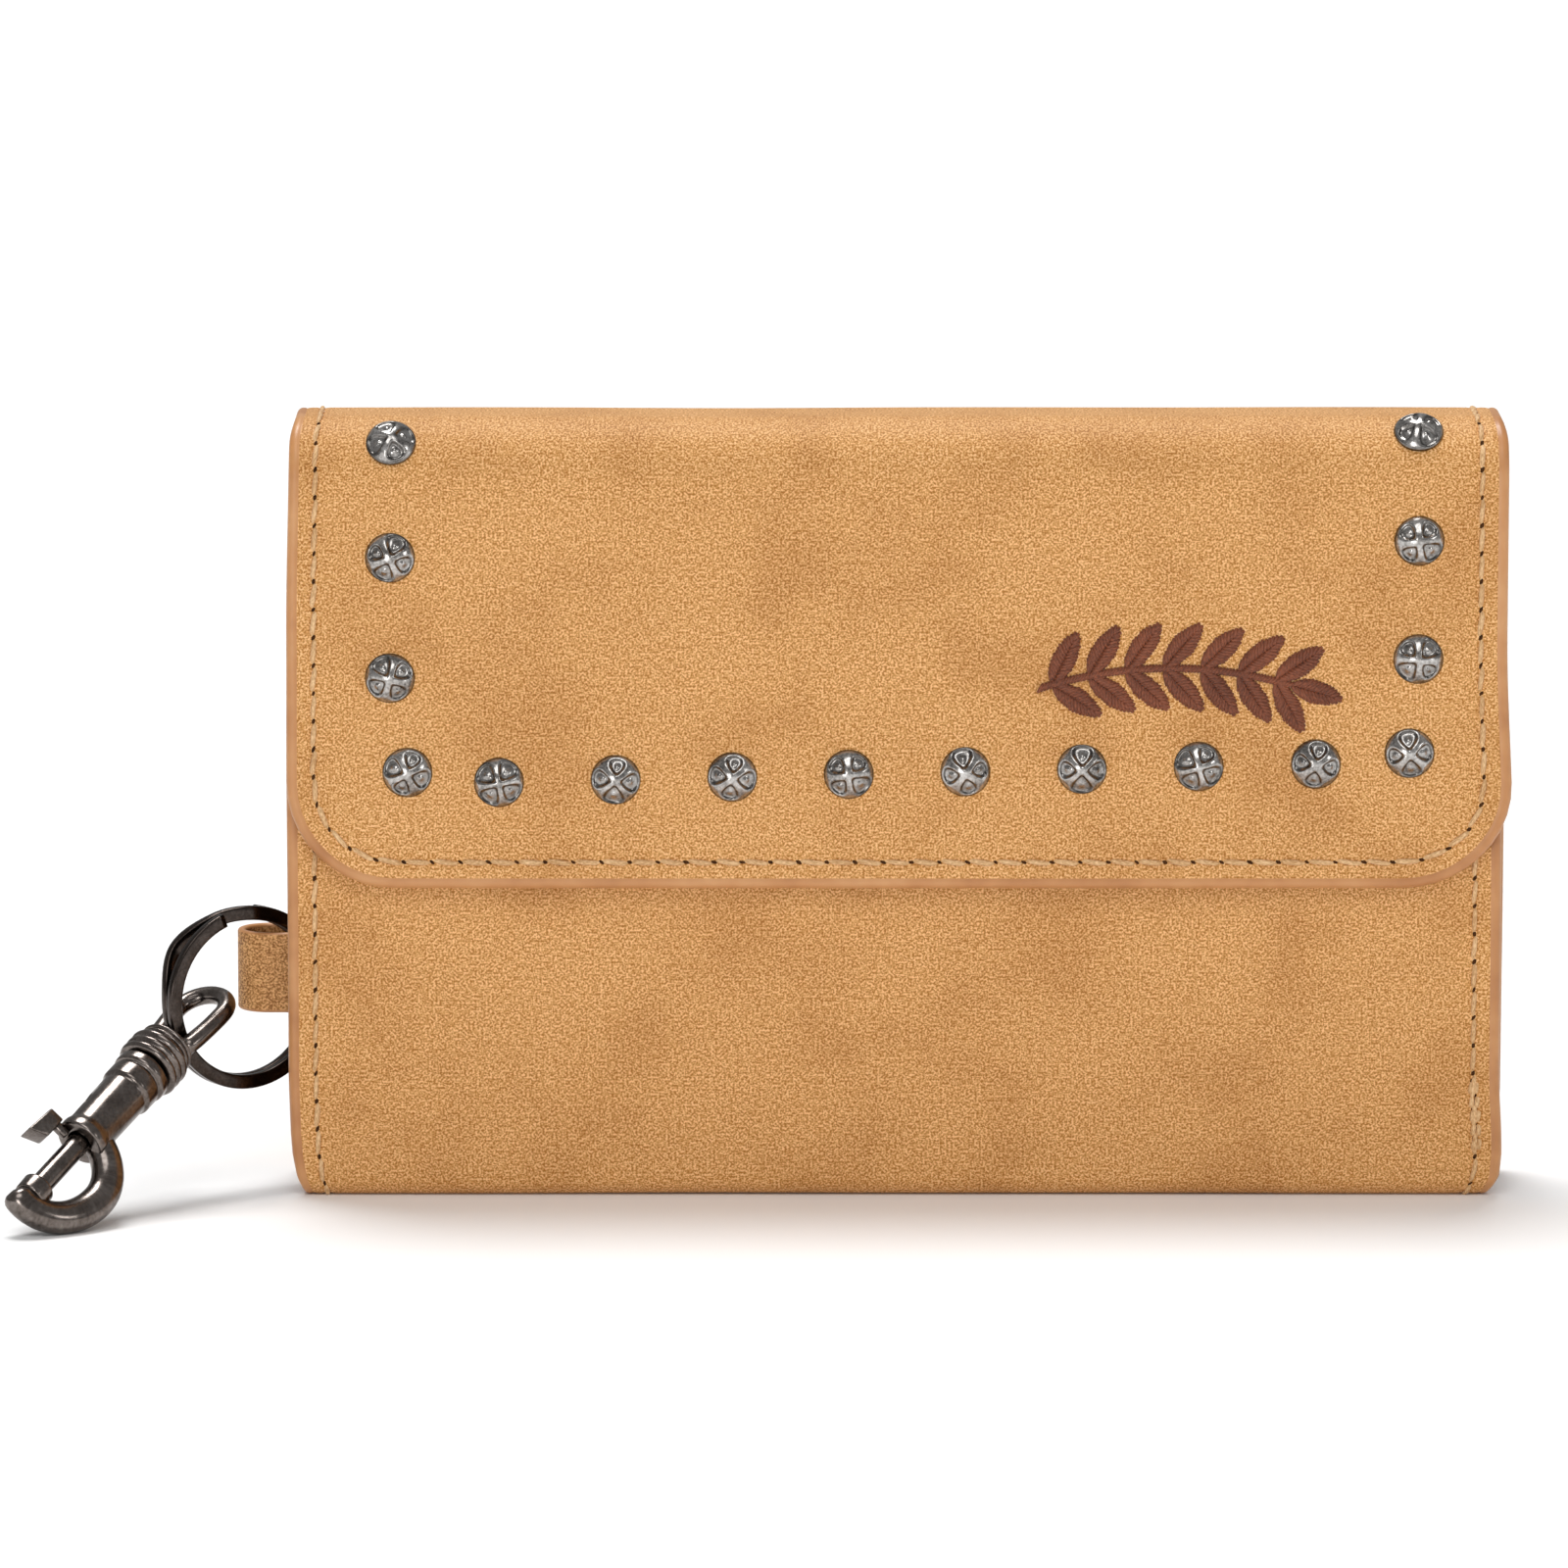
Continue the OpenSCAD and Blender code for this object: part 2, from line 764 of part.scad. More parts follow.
back_cover();
back_board();
back_lining();
bill_divider();
coin_pouch_gusset();
coin_pouch_front();
zip_tapes();
zip_teeth();
zip_stops();
card_slot(1);  // card_slot_1
card_slot(2);  // card_slot_2
card_slot(3);  // card_slot_3
card_slot(4);  // card_slot_4
pocket_seams();
key_tab();
zip_slider();
zip_pull();
top_cover();
top_board();
top_lining();
flap_cover();
flap_board();
flap_lining();
dome_studs();
stud_burrs();
snap_stud();
embroidery();
front_cover();
front_board();
front_lining();
snap_socket();
front_pocket();
window_frame();
front_pocket_seams();
window_film();
split_ring();
swivel_eye();
hook_body();
bolt_spring();
bolt_rod();
thumb_knob();
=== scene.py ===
"""A studded flap wallet with a key tab, a split ring and a snap hook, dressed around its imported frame.

Shapes are worked out in millimetres in the frame's axes (X across, -Y the front, Z up) and are
turned into metres when a mesh is made. The leather is one long strip in the YZ plane: a place on
it is (across, along), where along runs from the top of the front panel down, under the wallet,
up the back, over the top and down the flap.
"""

import json
import math
import random

import bmesh
import bpy
from mathutils import Matrix, Vector, noise
from mathutils.kdtree import KDTree


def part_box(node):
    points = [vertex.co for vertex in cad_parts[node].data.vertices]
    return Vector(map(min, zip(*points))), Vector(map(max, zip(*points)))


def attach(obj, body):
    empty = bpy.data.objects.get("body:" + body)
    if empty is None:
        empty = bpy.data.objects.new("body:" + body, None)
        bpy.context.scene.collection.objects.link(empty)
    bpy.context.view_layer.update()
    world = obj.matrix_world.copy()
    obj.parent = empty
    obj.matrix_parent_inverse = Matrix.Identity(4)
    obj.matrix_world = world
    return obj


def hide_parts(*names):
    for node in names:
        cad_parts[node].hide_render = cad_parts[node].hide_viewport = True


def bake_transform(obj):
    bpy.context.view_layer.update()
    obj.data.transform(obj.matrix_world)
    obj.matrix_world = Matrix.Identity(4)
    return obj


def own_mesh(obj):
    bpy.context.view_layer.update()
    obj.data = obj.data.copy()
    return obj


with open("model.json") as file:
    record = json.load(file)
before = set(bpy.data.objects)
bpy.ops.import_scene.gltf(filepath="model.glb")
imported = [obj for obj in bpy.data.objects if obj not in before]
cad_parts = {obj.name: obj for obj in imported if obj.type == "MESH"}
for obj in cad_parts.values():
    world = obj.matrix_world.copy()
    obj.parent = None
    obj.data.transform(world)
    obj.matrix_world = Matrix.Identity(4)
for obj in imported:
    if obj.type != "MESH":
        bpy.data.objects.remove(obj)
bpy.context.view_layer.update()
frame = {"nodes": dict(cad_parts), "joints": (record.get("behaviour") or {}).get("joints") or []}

MM = 0.001
JOINTS = {joint["name"]: joint for joint in frame["joints"]}


def box_mm(node):
    low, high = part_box(node)
    return low / MM, high / MM


# ---- Sizes, in mm ----

HALF_W = box_mm("back_cover")[1].x
BACK_Y = box_mm("back_cover")[1].y
TOP_Z = box_mm("top_cover")[1].z
FLAP_Y = box_mm("flap_cover")[0].y
FLAP_LOW = box_mm("flap_cover")[0].z
PANEL_Y = box_mm("front_cover")[0].y
PANEL_TOP = box_mm("front_cover")[1].z
TOP_R = 8
LOW_R = 3
FLAP_CORNER = 15
PANEL_CORNER = 6

SHELL_T = 1.9
LINING_T = 0.4
LINING_INSET = 1.3
EDGE_W = 1.45
STITCH_INSET = 3.8
STITCH_PITCH = 3.95
FLOOR_GAP = 0.03


# ---- Meshes ----

def show(thing):
    """Puts an object into the scene."""
    bpy.context.scene.collection.objects.link(thing)


class Heap:
    """Points in mm and faces of many small forms that become one piece. picks holds each face's
    material, rest each point's place in the grain and shade how dark it is."""

    def __init__(self):
        self.points, self.faces, self.picks, self.rest, self.shade = [], [], [], [], []

    def add(self, points, faces, picks=0, rest=None, shade=None):
        """Adds a form. picks is one number for all of its faces, or a list."""
        start = len(self.points)
        self.points += points
        self.rest += rest or points
        self.shade += shade or [0.0] * len(points)
        self.faces += [[start + i for i in face] for face in faces]
        self.picks += picks if isinstance(picks, list) else [picks] * len(faces)

    def turn(self, outline, matrix, steps=32, round_by=0.0):
        """Adds a form turned about Z from an outline of (radius, z)."""
        self.add(*lathe(rounded(outline, round_by) if round_by else outline, steps, matrix))

    def point(self, spot, rest):
        """Adds one point and gives its number."""
        self.points.append(spot)
        self.rest.append(rest)
        self.shade.append(0.0)
        return len(self.points) - 1

    def face(self, corners, pick):
        """Adds a face between numbered points, unless they fall together into a line."""
        corners = list(dict.fromkeys(corners))
        if len(corners) > 2:
            self.faces.append(corners)
            self.picks.append(pick)

    def piece(self, name, materials):
        """A smooth mesh object of everything that was added."""
        mesh = bpy.data.meshes.new(name)
        mesh.from_pydata([Vector(p) * MM for p in self.points], [], self.faces)
        for material in materials:
            mesh.materials.append(material)
        mesh.polygons.foreach_set("material_index", self.picks)
        mesh.polygons.foreach_set("use_smooth", [True] * len(self.faces))
        grain = mesh.attributes.new("rest", "FLOAT_VECTOR", "POINT")
        grain.data.foreach_set("vector", [x for p in self.rest for x in p])
        tone = mesh.attributes.new("shade", "FLOAT", "POINT")
        tone.data.foreach_set("value", self.shade)
        work = bmesh.new()
        work.from_mesh(mesh)
        bmesh.ops.recalc_face_normals(work, faces=work.faces)
        work.to_mesh(mesh)
        work.free()
        mesh.update()
        piece = bpy.data.objects.new(name, mesh)
        show(piece)
        return piece


def fit(piece, body, slot, *nodes):
    """Puts a piece on a body and hides the CAD nodes that it stands for. slot is not used."""
    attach(piece, body)
    if nodes:
        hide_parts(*nodes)
    return piece


def tube_faces(rings, sides, closed=False):
    """Faces of a tube of rings, with an end face at each end unless it closes on itself."""
    faces = []
    for i in range(rings if closed else rings - 1):
        j = (i + 1) % rings
        for k in range(sides):
            m = (k + 1) % sides
            faces.append([i * sides + k, i * sides + m, j * sides + m, j * sides + k])
    if not closed:
        faces.append(list(range(sides))[::-1])
        faces.append([(rings - 1) * sides + k for k in range(sides)])
    return faces


def lathe(profile, steps, matrix):
    """A form turned about Z from a closed line of (radius, z), with both ends on the axis."""
    points = [matrix @ Vector((0, 0, profile[0][1]))]
    inner = profile[1:-1]
    for radius, z in inner:
        for k in range(steps):
            angle = 2 * math.pi * k / steps
            points.append(matrix @ Vector((radius * math.cos(angle), radius * math.sin(angle), z)))
    points.append(matrix @ Vector((0, 0, profile[-1][1])))
    last = len(points) - 1
    faces = []
    for k in range(steps):
        m = (k + 1) % steps
        faces.append([0, 1 + k, 1 + m])
        for i in range(len(inner) - 1):
            a, b = 1 + i * steps, 1 + (i + 1) * steps
            faces.append([a + k, b + k, b + m, a + m])
        tail = 1 + (len(inner) - 1) * steps
        faces.append([last, tail + m, tail + k])
    return points, faces


def rounded(corners, radius, steps=4):
    """An open line of (r, z) corners with its inner corners rounded by up to radius."""
    line = [corners[0]]
    for a, b, c in zip(corners, corners[1:], corners[2:]):
        a, b, c = Vector(a), Vector(b), Vector(c)
        reach = min(radius, (a - b).length * 0.45, (c - b).length * 0.45)
        start, end = b + (a - b).normalized() * reach, b + (c - b).normalized() * reach
        for k in range(steps + 1):
            f = k / steps
            line.append(tuple(start * (1 - f) ** 2 + b * 2 * f * (1 - f) + end * f * f))
    line.append(corners[-1])
    return line


# ---- The leather strip ----

class Strip:
    """The wallet's outer line in the YZ plane, made of straights and quarter folds to the left."""

    def __init__(self, y, z):
        self.parts = []
        self.length = 0.0
        self.here = Vector((y, z))
        self.heading = -math.pi / 2

    def ahead(self, angle):
        return Vector((math.cos(angle), math.sin(angle)))

    def straight(self, length):
        self.parts.append((self.length, length, self.here.copy(), self.heading, 0.0))
        self.here = self.here + self.ahead(self.heading) * length
        self.length += length

    def fold(self, radius):
        length = radius * math.pi / 2
        self.parts.append((self.length, length, self.here.copy(), self.heading, radius))
        side = self.ahead(self.heading + math.pi / 2)
        self.heading += math.pi / 2
        self.here = self.here + side * radius - self.ahead(self.heading + math.pi / 2) * radius
        self.length += length

    def at(self, along):
        """Place (y, z) and outward direction at a distance along the strip."""
        part = self.parts[0]
        for candidate in self.parts:
            if along >= candidate[0]:
                part = candidate
        start, _, here, heading, radius = part
        if radius == 0:
            return here + self.ahead(heading) * (along - start), self.ahead(heading - math.pi / 2)
        centre = here + self.ahead(heading + math.pi / 2) * radius
        out = self.ahead(heading - math.pi / 2 + (along - start) / radius)
        return centre + out * radius, out

    def stops(self, low, high):
        """Distances from low to high, finer on the folds."""
        found = [low]
        for start, length, _, _, radius in self.parts:
            a, b = max(low, start), min(high, start + length)
            if b - a < 1e-6:
                continue
            step = radius * math.pi / 2 / FOLD_STEPS if radius else SPACING
            count = max(1, round((b - a) / step))
            found += [a + (b - a) * (k + 1) / count for k in range(count)]
        return found


strip = Strip(PANEL_Y, PANEL_TOP)
strip.straight(PANEL_TOP - LOW_R)
strip.fold(LOW_R)
BOTTOM_START = strip.length
strip.straight(BACK_Y - PANEL_Y - 2 * LOW_R)
strip.fold(LOW_R)
strip.straight(TOP_Z - LOW_R - TOP_R)
strip.fold(TOP_R)
TOP_START = strip.length
strip.straight(BACK_Y - FLAP_Y - 2 * TOP_R)
strip.fold(TOP_R)
FLAP_START = strip.length
strip.straight(TOP_Z - TOP_R - FLAP_LOW)
FLAP_END = strip.length

FRONT_SEAM = BOTTOM_START + 0.5
TOP_SEAM = TOP_START + 3.5


def smooth(share):
    """Eases a share, held between 0 and 1."""
    share = max(0.0, min(1.0, share))
    return share * share * (3 - 2 * share)


EDGE_WAVE = 0.2
FACE_WAVE = 0.16
# How far the front panel and the back stand in, at the left (-1) and the right edge
LAYERS_IN = {-1: (-0.3, -0.2), 1: (0.5, -1.0)}
LEAN_IN = 0.5
LEAN_FROM = 80
LEAN_OVER = 30
LOW_CORNER_IN = 1.7
LOW_CORNER_TALL = {-1: 9, 1: 5}
TOP_CORNER_IN = 0.55
TOP_CORNER_TALL = 3


def side_draw(side, along, height):
    """How far the strip's edge stands in from straight, so that the layers don't line up exactly
    and the corners at the folds are soft."""
    wave = EDGE_WAVE * noise.noise(Vector((along * 0.02, side * 3.7, 1.3)))
    front = smooth((BOTTOM_START - 8 - along) / 12)
    back = smooth((along - BOTTOM_START - 16) / 12) * smooth((LEAN_FROM - height) / LEAN_OVER)
    front_in, back_in = LAYERS_IN[side]
    layers = front_in * front + back_in * back
    lean = LEAN_IN * smooth((height - LEAN_FROM) / LEAN_OVER) if side < 0 else 0.0
    low_corner = LOW_CORNER_IN * max(0.0, 1 - height / LOW_CORNER_TALL[side]) ** 2
    top_corner = TOP_CORNER_IN * max(0.0, 1 - (TOP_Z - height) / TOP_CORNER_TALL) ** 2
    return wave + layers + lean + low_corner + top_corner


def place(across, along, depth):
    """The point in space of a place on the strip, at a depth below its outer face."""
    side = 1 if across > 0 else -1
    share = abs(across) / HALF_W
    spot, out = strip.at(along)
    across_now = across - side * share ** 4 * side_draw(side, along, spot.y)
    wave = FACE_WAVE * noise.noise(Vector((across * 0.022, along * 0.03, 7.1)))
    spot = spot + out * (wave - depth)
    return Vector((across_now, spot.x, max(spot.y, FLOOR_GAP)))


# How far from its edge each ring of a shell lies, past the round rim and further in
RING_STEPS = [1.3, 1.5, 1.75, 2.3, 2.9, 3.3, 3.6, 3.8, 4.0, 4.3, 4.8, 5.5]
FIELD_STEPS = [7.0, 9.5, 12.0]
SPACING = 3.0
FOLD_STEPS = 14
CORNER_STEPS = 10


class Panel:
    """One flat panel of the strip, from a joint where it goes on into the next panel to its free end."""

    def __init__(self, joint_at, free_at, corner, inset=0.0):
        self.joint_at = joint_at
        self.way = 1 if free_at > joint_at else -1
        self.length = abs(free_at - joint_at) - inset
        self.half = HALF_W - inset
        self.corner = max(corner - inset, 0.8)

    def along(self, reach):
        return self.joint_at + self.way * reach

    def line(self, distance, sides, bottom, corner_steps=CORNER_STEPS):
        """(across, reach) points of the line that runs distance inside the panel's edge."""
        radius = max(self.corner - distance, 0.0)
        across, end = self.half - self.corner, self.length - self.corner
        turns = [math.pi / 2 * k / corner_steps for k in range(1, corner_steps)]
        points = [(-self.half + distance, reach) for reach in sides]
        points += [(-across - radius * math.cos(a), end + radius * math.sin(a)) for a in turns]
        points += [(x, self.length - distance) for x in bottom]
        points += [(across + radius * math.sin(a), end + radius * math.cos(a)) for a in turns]
        points += [(self.half - distance, reach) for reach in reversed(sides)]
        return points

    def grids(self, rims):
        """Distances, the ring lines at those distances, and the places across and along inside them."""
        end = self.length - self.corner
        low, high = sorted((self.along(0), self.along(end)))
        sides = sorted(abs(s - self.joint_at) for s in strip.stops(low, high))
        flat = self.half - self.corner
        count = round(2 * flat / SPACING)
        bottom = [-flat + 2 * flat * k / count for k in range(count + 1)]
        distances = [d for d in rims if d < self.corner - 0.3] + [self.corner]
        lines = [self.line(d, sides, bottom) for d in distances]
        return distances, lines, sides, bottom


def rim_drop(distance, radius):
    """How far a face curves down towards a round rim."""
    if distance >= radius:
        return 0.0
    return radius - math.sqrt(radius ** 2 - (radius - distance) ** 2)


def hump(x, width):
    return math.exp(-(x / width) ** 2)


EDGE_LINE_DEPTH = 0.13
CHANNEL_DEPTH = 0.16
# How far apart the outer and the inner face of a shell lie in the grain
FACE_APART = 50.0


def leather_relief(distance):
    """Depth of the pressed line beside the painted edge and of the channel that the stitches lie in."""
    edge_line = EDGE_LINE_DEPTH * hump(distance - EDGE_W - 0.1, 0.2)
    return edge_line + CHANNEL_DEPTH * hump(distance - STITCH_INSET, 0.5)


def no_relief(distance):
    return 0.0


def rim_steps(radius):
    """How far in from the edge the rings over a round rim and just past it lie."""
    rim = [radius * (1 - math.cos(math.pi / 2 * k / 5)) for k in range(6)]
    return rim + [d for d in RING_STEPS if d > radius + 0.05]


def face_depth(face, distance, thickness, relief):
    """Depth of a shell's outer face (0) or inner face (1) below its top."""
    drop = rim_drop(distance, thickness / 2)
    return drop + relief(distance) if face == 0 else thickness - drop


def shell(name, panel, top, thickness, relief, materials):
    """A closed leather shell: outer face, round rim, inner face and the cut at the joint.
    materials are for the outer face, the edge and the inner face."""
    distances, lines, sides, bottom = panel.grids(rim_steps(thickness / 2) + FIELD_STEPS)
    heap = Heap()
    index = {}

    def vertex(face, across, reach, distance):
        key = (face if distance > 0 else 0, round(across, 4), round(reach, 4))
        if key not in index:
            along = panel.along(reach)
            depth = face_depth(face, distance, thickness, relief)
            index[key] = heap.point(
                place(across, along, top + depth), Vector((across, along, face * FACE_APART)))
        return index[key]

    for face in (0, 1):
        for (near, far), (line_a, line_b) in zip(
                zip(distances, distances[1:]), zip(lines, lines[1:])):
            pick = 1 if (near + far) / 2 < EDGE_W else 2 * face
            for (a, b), (c, d) in zip(zip(line_a, line_a[1:]), zip(line_b, line_b[1:])):
                heap.face([vertex(face, *a, near), vertex(face, *b, near),
                           vertex(face, *d, far), vertex(face, *c, far)], pick)
        for x, x_next in zip(bottom, bottom[1:]):
            for reach, reach_next in zip(sides, sides[1:]):
                places = [(x, reach), (x_next, reach), (x_next, reach_next), (x, reach_next)]
                heap.face([vertex(face, *spot, distances[-1]) for spot in places], 2 * face)
    starts = [(line[0][0], d) for line, d in zip(lines, distances)]
    middles = [(x, distances[-1]) for x in bottom[1:-1]]
    ends = [(line[-1][0], d) for line, d in zip(lines, distances)][::-1]
    row = starts + middles + ends
    for (x, d), (x_next, d_next) in zip(row, row[1:]):
        heap.face([vertex(0, x, 0.0, d), vertex(0, x_next, 0.0, d_next),
                   vertex(1, x_next, 0.0, d_next), vertex(1, x, 0.0, d)], 1)
    return sharpen(heap.piece(name, materials), panel.along(0))


def back_shell(name, low, high, half, top, thickness, relief, materials):
    """The same shell for the back, which goes on into another panel at both ends."""
    rims = rim_steps(thickness / 2)
    flat = half - rims[-1]
    count = round(2 * flat / SPACING)
    middle = [(-half + rims[-1] + 2 * flat * k / count, rims[-1]) for k in range(1, count)]
    row = [(-half + d, d) for d in rims] + middle + [(half - d, d) for d in reversed(rims)]
    loop = [(x, d, 0) for x, d in row] + [(x, d, 1) for x, d in row[1:-1][::-1]]
    stops = strip.stops(low, high)
    heap = Heap()
    for along in stops:
        for x, d, face in loop:
            depth = face_depth(face, d, thickness, relief)
            heap.point(place(x, along, top + depth), Vector((x, along, face * FACE_APART)))
    heap.faces = tube_faces(len(stops), len(loop))
    picks = [1 if (a[1] + b[1]) / 2 < EDGE_W else 2 * max(a[2], b[2])
             for a, b in zip(loop, loop[1:] + loop[:1])]
    heap.picks = picks * (len(stops) - 1) + [1, 1]
    return sharpen(heap.piece(name, materials), low, high)


def sharpen(piece, *cuts):
    """Keeps the hidden cuts at places along the strip from shading the faces beside them."""
    rest = piece.data.attributes["rest"].data
    for edge in piece.data.edges:
        ends = [rest[v].vector.y for v in edge.vertices]
        if any(all(abs(end - at) < 1e-4 for end in ends) for at in cuts):
            edge.use_edge_sharp = True
    return piece


# ---- Materials ----

class Shader:
    """A principled material and short ways to add the nodes that feed it. Places are in mm."""

    def __init__(self, name, roughness=0.5, metallic=0.0, cad=False, **sockets):
        self.material = bpy.data.materials.new(name)
        self.material.use_nodes = True
        self.tree = self.material.node_tree
        self.surface = self.tree.nodes["Principled BSDF"]
        self.surface.inputs["Roughness"].default_value = roughness
        self.surface.inputs["Metallic"].default_value = metallic
        for socket, value in sockets.items():
            self.surface.inputs[socket.replace("_", " ")].default_value = value
        if cad:
            scale = self.node("VectorMath")
            scale.operation = "SCALE"
            scale.inputs["Scale"].default_value = 1 / MM
            self.link(self.node("TexCoord").outputs["Object"], scale.inputs[0])
            self.where = scale.outputs["Vector"]
        else:
            self.where = self.attribute("rest", "Vector")

    def link(self, output, socket):
        self.tree.links.new(output, socket)

    def node(self, kind, **inputs):
        """A new node with some of its inputs set."""
        node = self.tree.nodes.new("ShaderNode" + kind)
        for name, value in inputs.items():
            node.inputs[name].default_value = value
        return node

    def stretch(self, x, y, z):
        """The places, scaled differently along each axis."""
        mapping = self.node("VectorMath")
        mapping.operation = "MULTIPLY"
        mapping.inputs[1].default_value = (x, y, z)
        self.link(self.where, mapping.inputs[0])
        return mapping.outputs["Vector"]

    def noise(self, scale, detail=2.0, roughness=0.5, where=None):
        node = self.node("TexNoise", Scale=scale, Detail=detail, Roughness=roughness)
        self.link(where or self.where, node.inputs["Vector"])
        return node.outputs["Fac"]

    def cells(self, scale):
        node = self.node("TexVoronoi", Scale=scale)
        node.feature = "SMOOTH_F1"
        self.link(self.where, node.inputs["Vector"])
        return node.outputs["Distance"]

    def attribute(self, name, output="Fac"):
        node = self.node("Attribute")
        node.attribute_name = name
        return node.outputs[output]

    def math(self, operation, a, b):
        node = self.node("Math")
        node.operation = operation
        for socket, value in zip(node.inputs, (a, b)):
            if isinstance(value, (int, float)):
                socket.default_value = value
            else:
                self.link(value, socket)
        return node.outputs[0]

    def ramp(self, value, *stops):
        """A run of colours over the value, from (position, colour) stops."""
        node = self.node("ValToRGB")
        elements = node.color_ramp.elements
        while len(elements) < len(stops):
            elements.new(0.5)
        for element, (position, colour) in zip(elements, stops):
            element.position = position
            element.color = (*colour, 1)
        self.link(value, node.inputs["Fac"])
        return node.outputs["Color"]

    def mixed(self, a, b, share):
        """Two values added, the second one's share being given."""
        return self.math("ADD", self.math("MULTIPLY", a, 1 - share), self.math("MULTIPLY", b, share))

    def blend(self, share, a, b, kind="MIX"):
        node = self.node("Mix")
        node.data_type = "RGBA"
        node.blend_type = kind
        factor, colour_a, colour_b = node.inputs[0], node.inputs[6], node.inputs[7]
        for socket, value in ((factor, share), (colour_a, a), (colour_b, b)):
            if isinstance(value, bpy.types.NodeSocket):
                self.link(value, socket)
            else:
                socket.default_value = (*value, 1) if isinstance(value, tuple) else value
        return node.outputs[2]

    def colour(self, output):
        self.link(output, self.surface.inputs["Base Color"])

    def rough(self, value, low, high):
        """Roughness between low and high as the value goes from 0 to 1."""
        span = self.math("MULTIPLY", value, high - low)
        self.link(self.math("ADD", span, low), self.surface.inputs["Roughness"])

    def bumps(self, *layers):
        """Bump layers of (height, strength, distance in mm), the first one the finest."""
        normal = None
        for height, strength, distance in layers:
            node = self.node("Bump", Strength=strength, Distance=distance * MM)
            self.link(height, node.inputs["Height"])
            if normal:
                self.link(normal, node.inputs["Normal"])
            normal = node.outputs["Normal"]
        self.link(normal, self.surface.inputs["Normal"])
        return self.material


def rgb(red, green, blue):
    """A colour from 0-255 values as a screen shows them."""
    def linear(value):
        value /= 255
        return value / 12.92 if value <= 0.04045 else ((value + 0.055) / 1.055) ** 2.4
    return linear(red), linear(green), linear(blue)


def leather_material(name, dark, middle, light, cad=False):
    """Waxed split leather: a fine speckled grain, faint cracks and large soft clouds."""
    shader = Shader(name, 0.6, cad=cad, Specular_IOR_Level=0.3, Sheen_Weight=0.08, Sheen_Roughness=0.4)
    speck = shader.noise(3.3, 1.5, 0.55)
    fleck = shader.noise(1.1, 2.0, 0.5)
    pores = shader.cells(1.25)
    cloud = shader.noise(0.05, 3.0, 0.55)
    grain = shader.ramp(shader.mixed(speck, fleck, 0.15), (0.38, dark), (0.5, middle), (0.61, light))
    clouds = shader.ramp(
        cloud, (0.36, (0.86, 0.81, 0.74)), (0.5, (0.97, 0.96, 0.94)), (0.64, (1.0, 1.0, 1.0)))
    shader.colour(shader.blend(1.0, grain, clouds, "MULTIPLY"))
    shader.rough(speck, 0.5, 0.72)
    return shader.bumps((speck, 0.35, 0.12), (pores, 0.25, 0.12), (cloud, 0.12, 1.2))


def edge_material():
    """Thick smooth edge paint, a little uneven."""
    shader = Shader("edge_paint", 0.38, Specular_IOR_Level=0.45, Coat_Weight=0.12, Coat_Roughness=0.3)
    drift = shader.noise(0.09, 3.0, 0.6)
    fine = shader.noise(1.4, 2.0, 0.5)
    shader.colour(shader.ramp(
        drift, (0.3, rgb(178, 119, 70)), (0.5, rgb(196, 138, 86)), (0.72, rgb(209, 155, 103))))
    shader.rough(fine, 0.3, 0.5)
    return shader.bumps((fine, 0.15, 0.1), (drift, 0.15, 0.6))


def lining_material(name, warp, weft, cad=False):
    """Closely woven twill lining."""
    shader = Shader(name, 0.7, cad=cad, Specular_IOR_Level=0.25, Sheen_Weight=0.25, Sheen_Roughness=0.4)
    node = shader.node("TexWave", Scale=0.55, Distortion=0.6)
    node.bands_direction = "DIAGONAL"
    shader.link(shader.where, node.inputs["Vector"])
    threads = shader.noise(1.0, 1.0, 0.5, shader.stretch(3.2, 0.5, 3.2))
    weave = shader.mixed(node.outputs["Fac"], threads, 0.3)
    shader.colour(shader.ramp(weave, (0.15, warp), (0.85, weft)))
    return shader.bumps((weave, 0.5, 0.08))


def thread_material(name, dark, light, twist):
    """Waxed thread: two plies that show as slanted dark lines."""
    shader = Shader(name, 0.5, Specular_IOR_Level=0.4, Sheen_Weight=0.2, Sheen_Roughness=0.35)
    ply = shader.noise(twist, 1.0, 0.4)
    drift = shader.noise(0.2, 2.0, 0.5)
    shader.colour(shader.ramp(shader.mixed(ply, drift, 0.3), (0.32, dark), (0.68, light)))
    return shader.bumps((ply, 0.5, 0.06))


def hole_shade_material():
    """Painted shade for the inside of a needle hole: a dark brown in place of the hole's depth."""
    shader = Shader("needle_hole_shade", 0.85, Specular_IOR_Level=0.1)
    shader.colour(shader.ramp(shader.noise(3.0), (0.3, rgb(44, 26, 12)), (0.7, rgb(84, 52, 26))))
    return shader.bumps((shader.noise(5.0), 0.3, 0.05))


def metal_material(name, dark, middle, light, low, high, cad=False):
    """Plated metal with rubbed patches and fine scratches. The shade attribute darkens it with painted
    shade, as in the studs' hollows and round their foot.
    """
    shader = Shader(name, low, 1.0, cad=cad)
    patches = shader.noise(0.35, 4.0, 0.65)
    fine = shader.noise(2.6, 3.0, 0.6)
    lines = shader.noise(1.0, 2.0, 0.6, shader.stretch(0.35, 6.0, 6.0))
    plated = shader.ramp(
        shader.mixed(patches, fine, 0.5), (0.3, dark), (0.5, middle), (0.72, light))
    if cad:
        shader.colour(plated)
    else:
        # Painted shade: the shade attribute mixes the plating towards its dark tone.
        shader.colour(shader.blend(shader.attribute("shade"), plated, dark))
    shader.rough(shader.mixed(patches, lines, 0.4), low, high)
    return shader.bumps((lines, 0.03, 0.03), (fine, 0.03, 0.04), (patches, 0.04, 0.2))


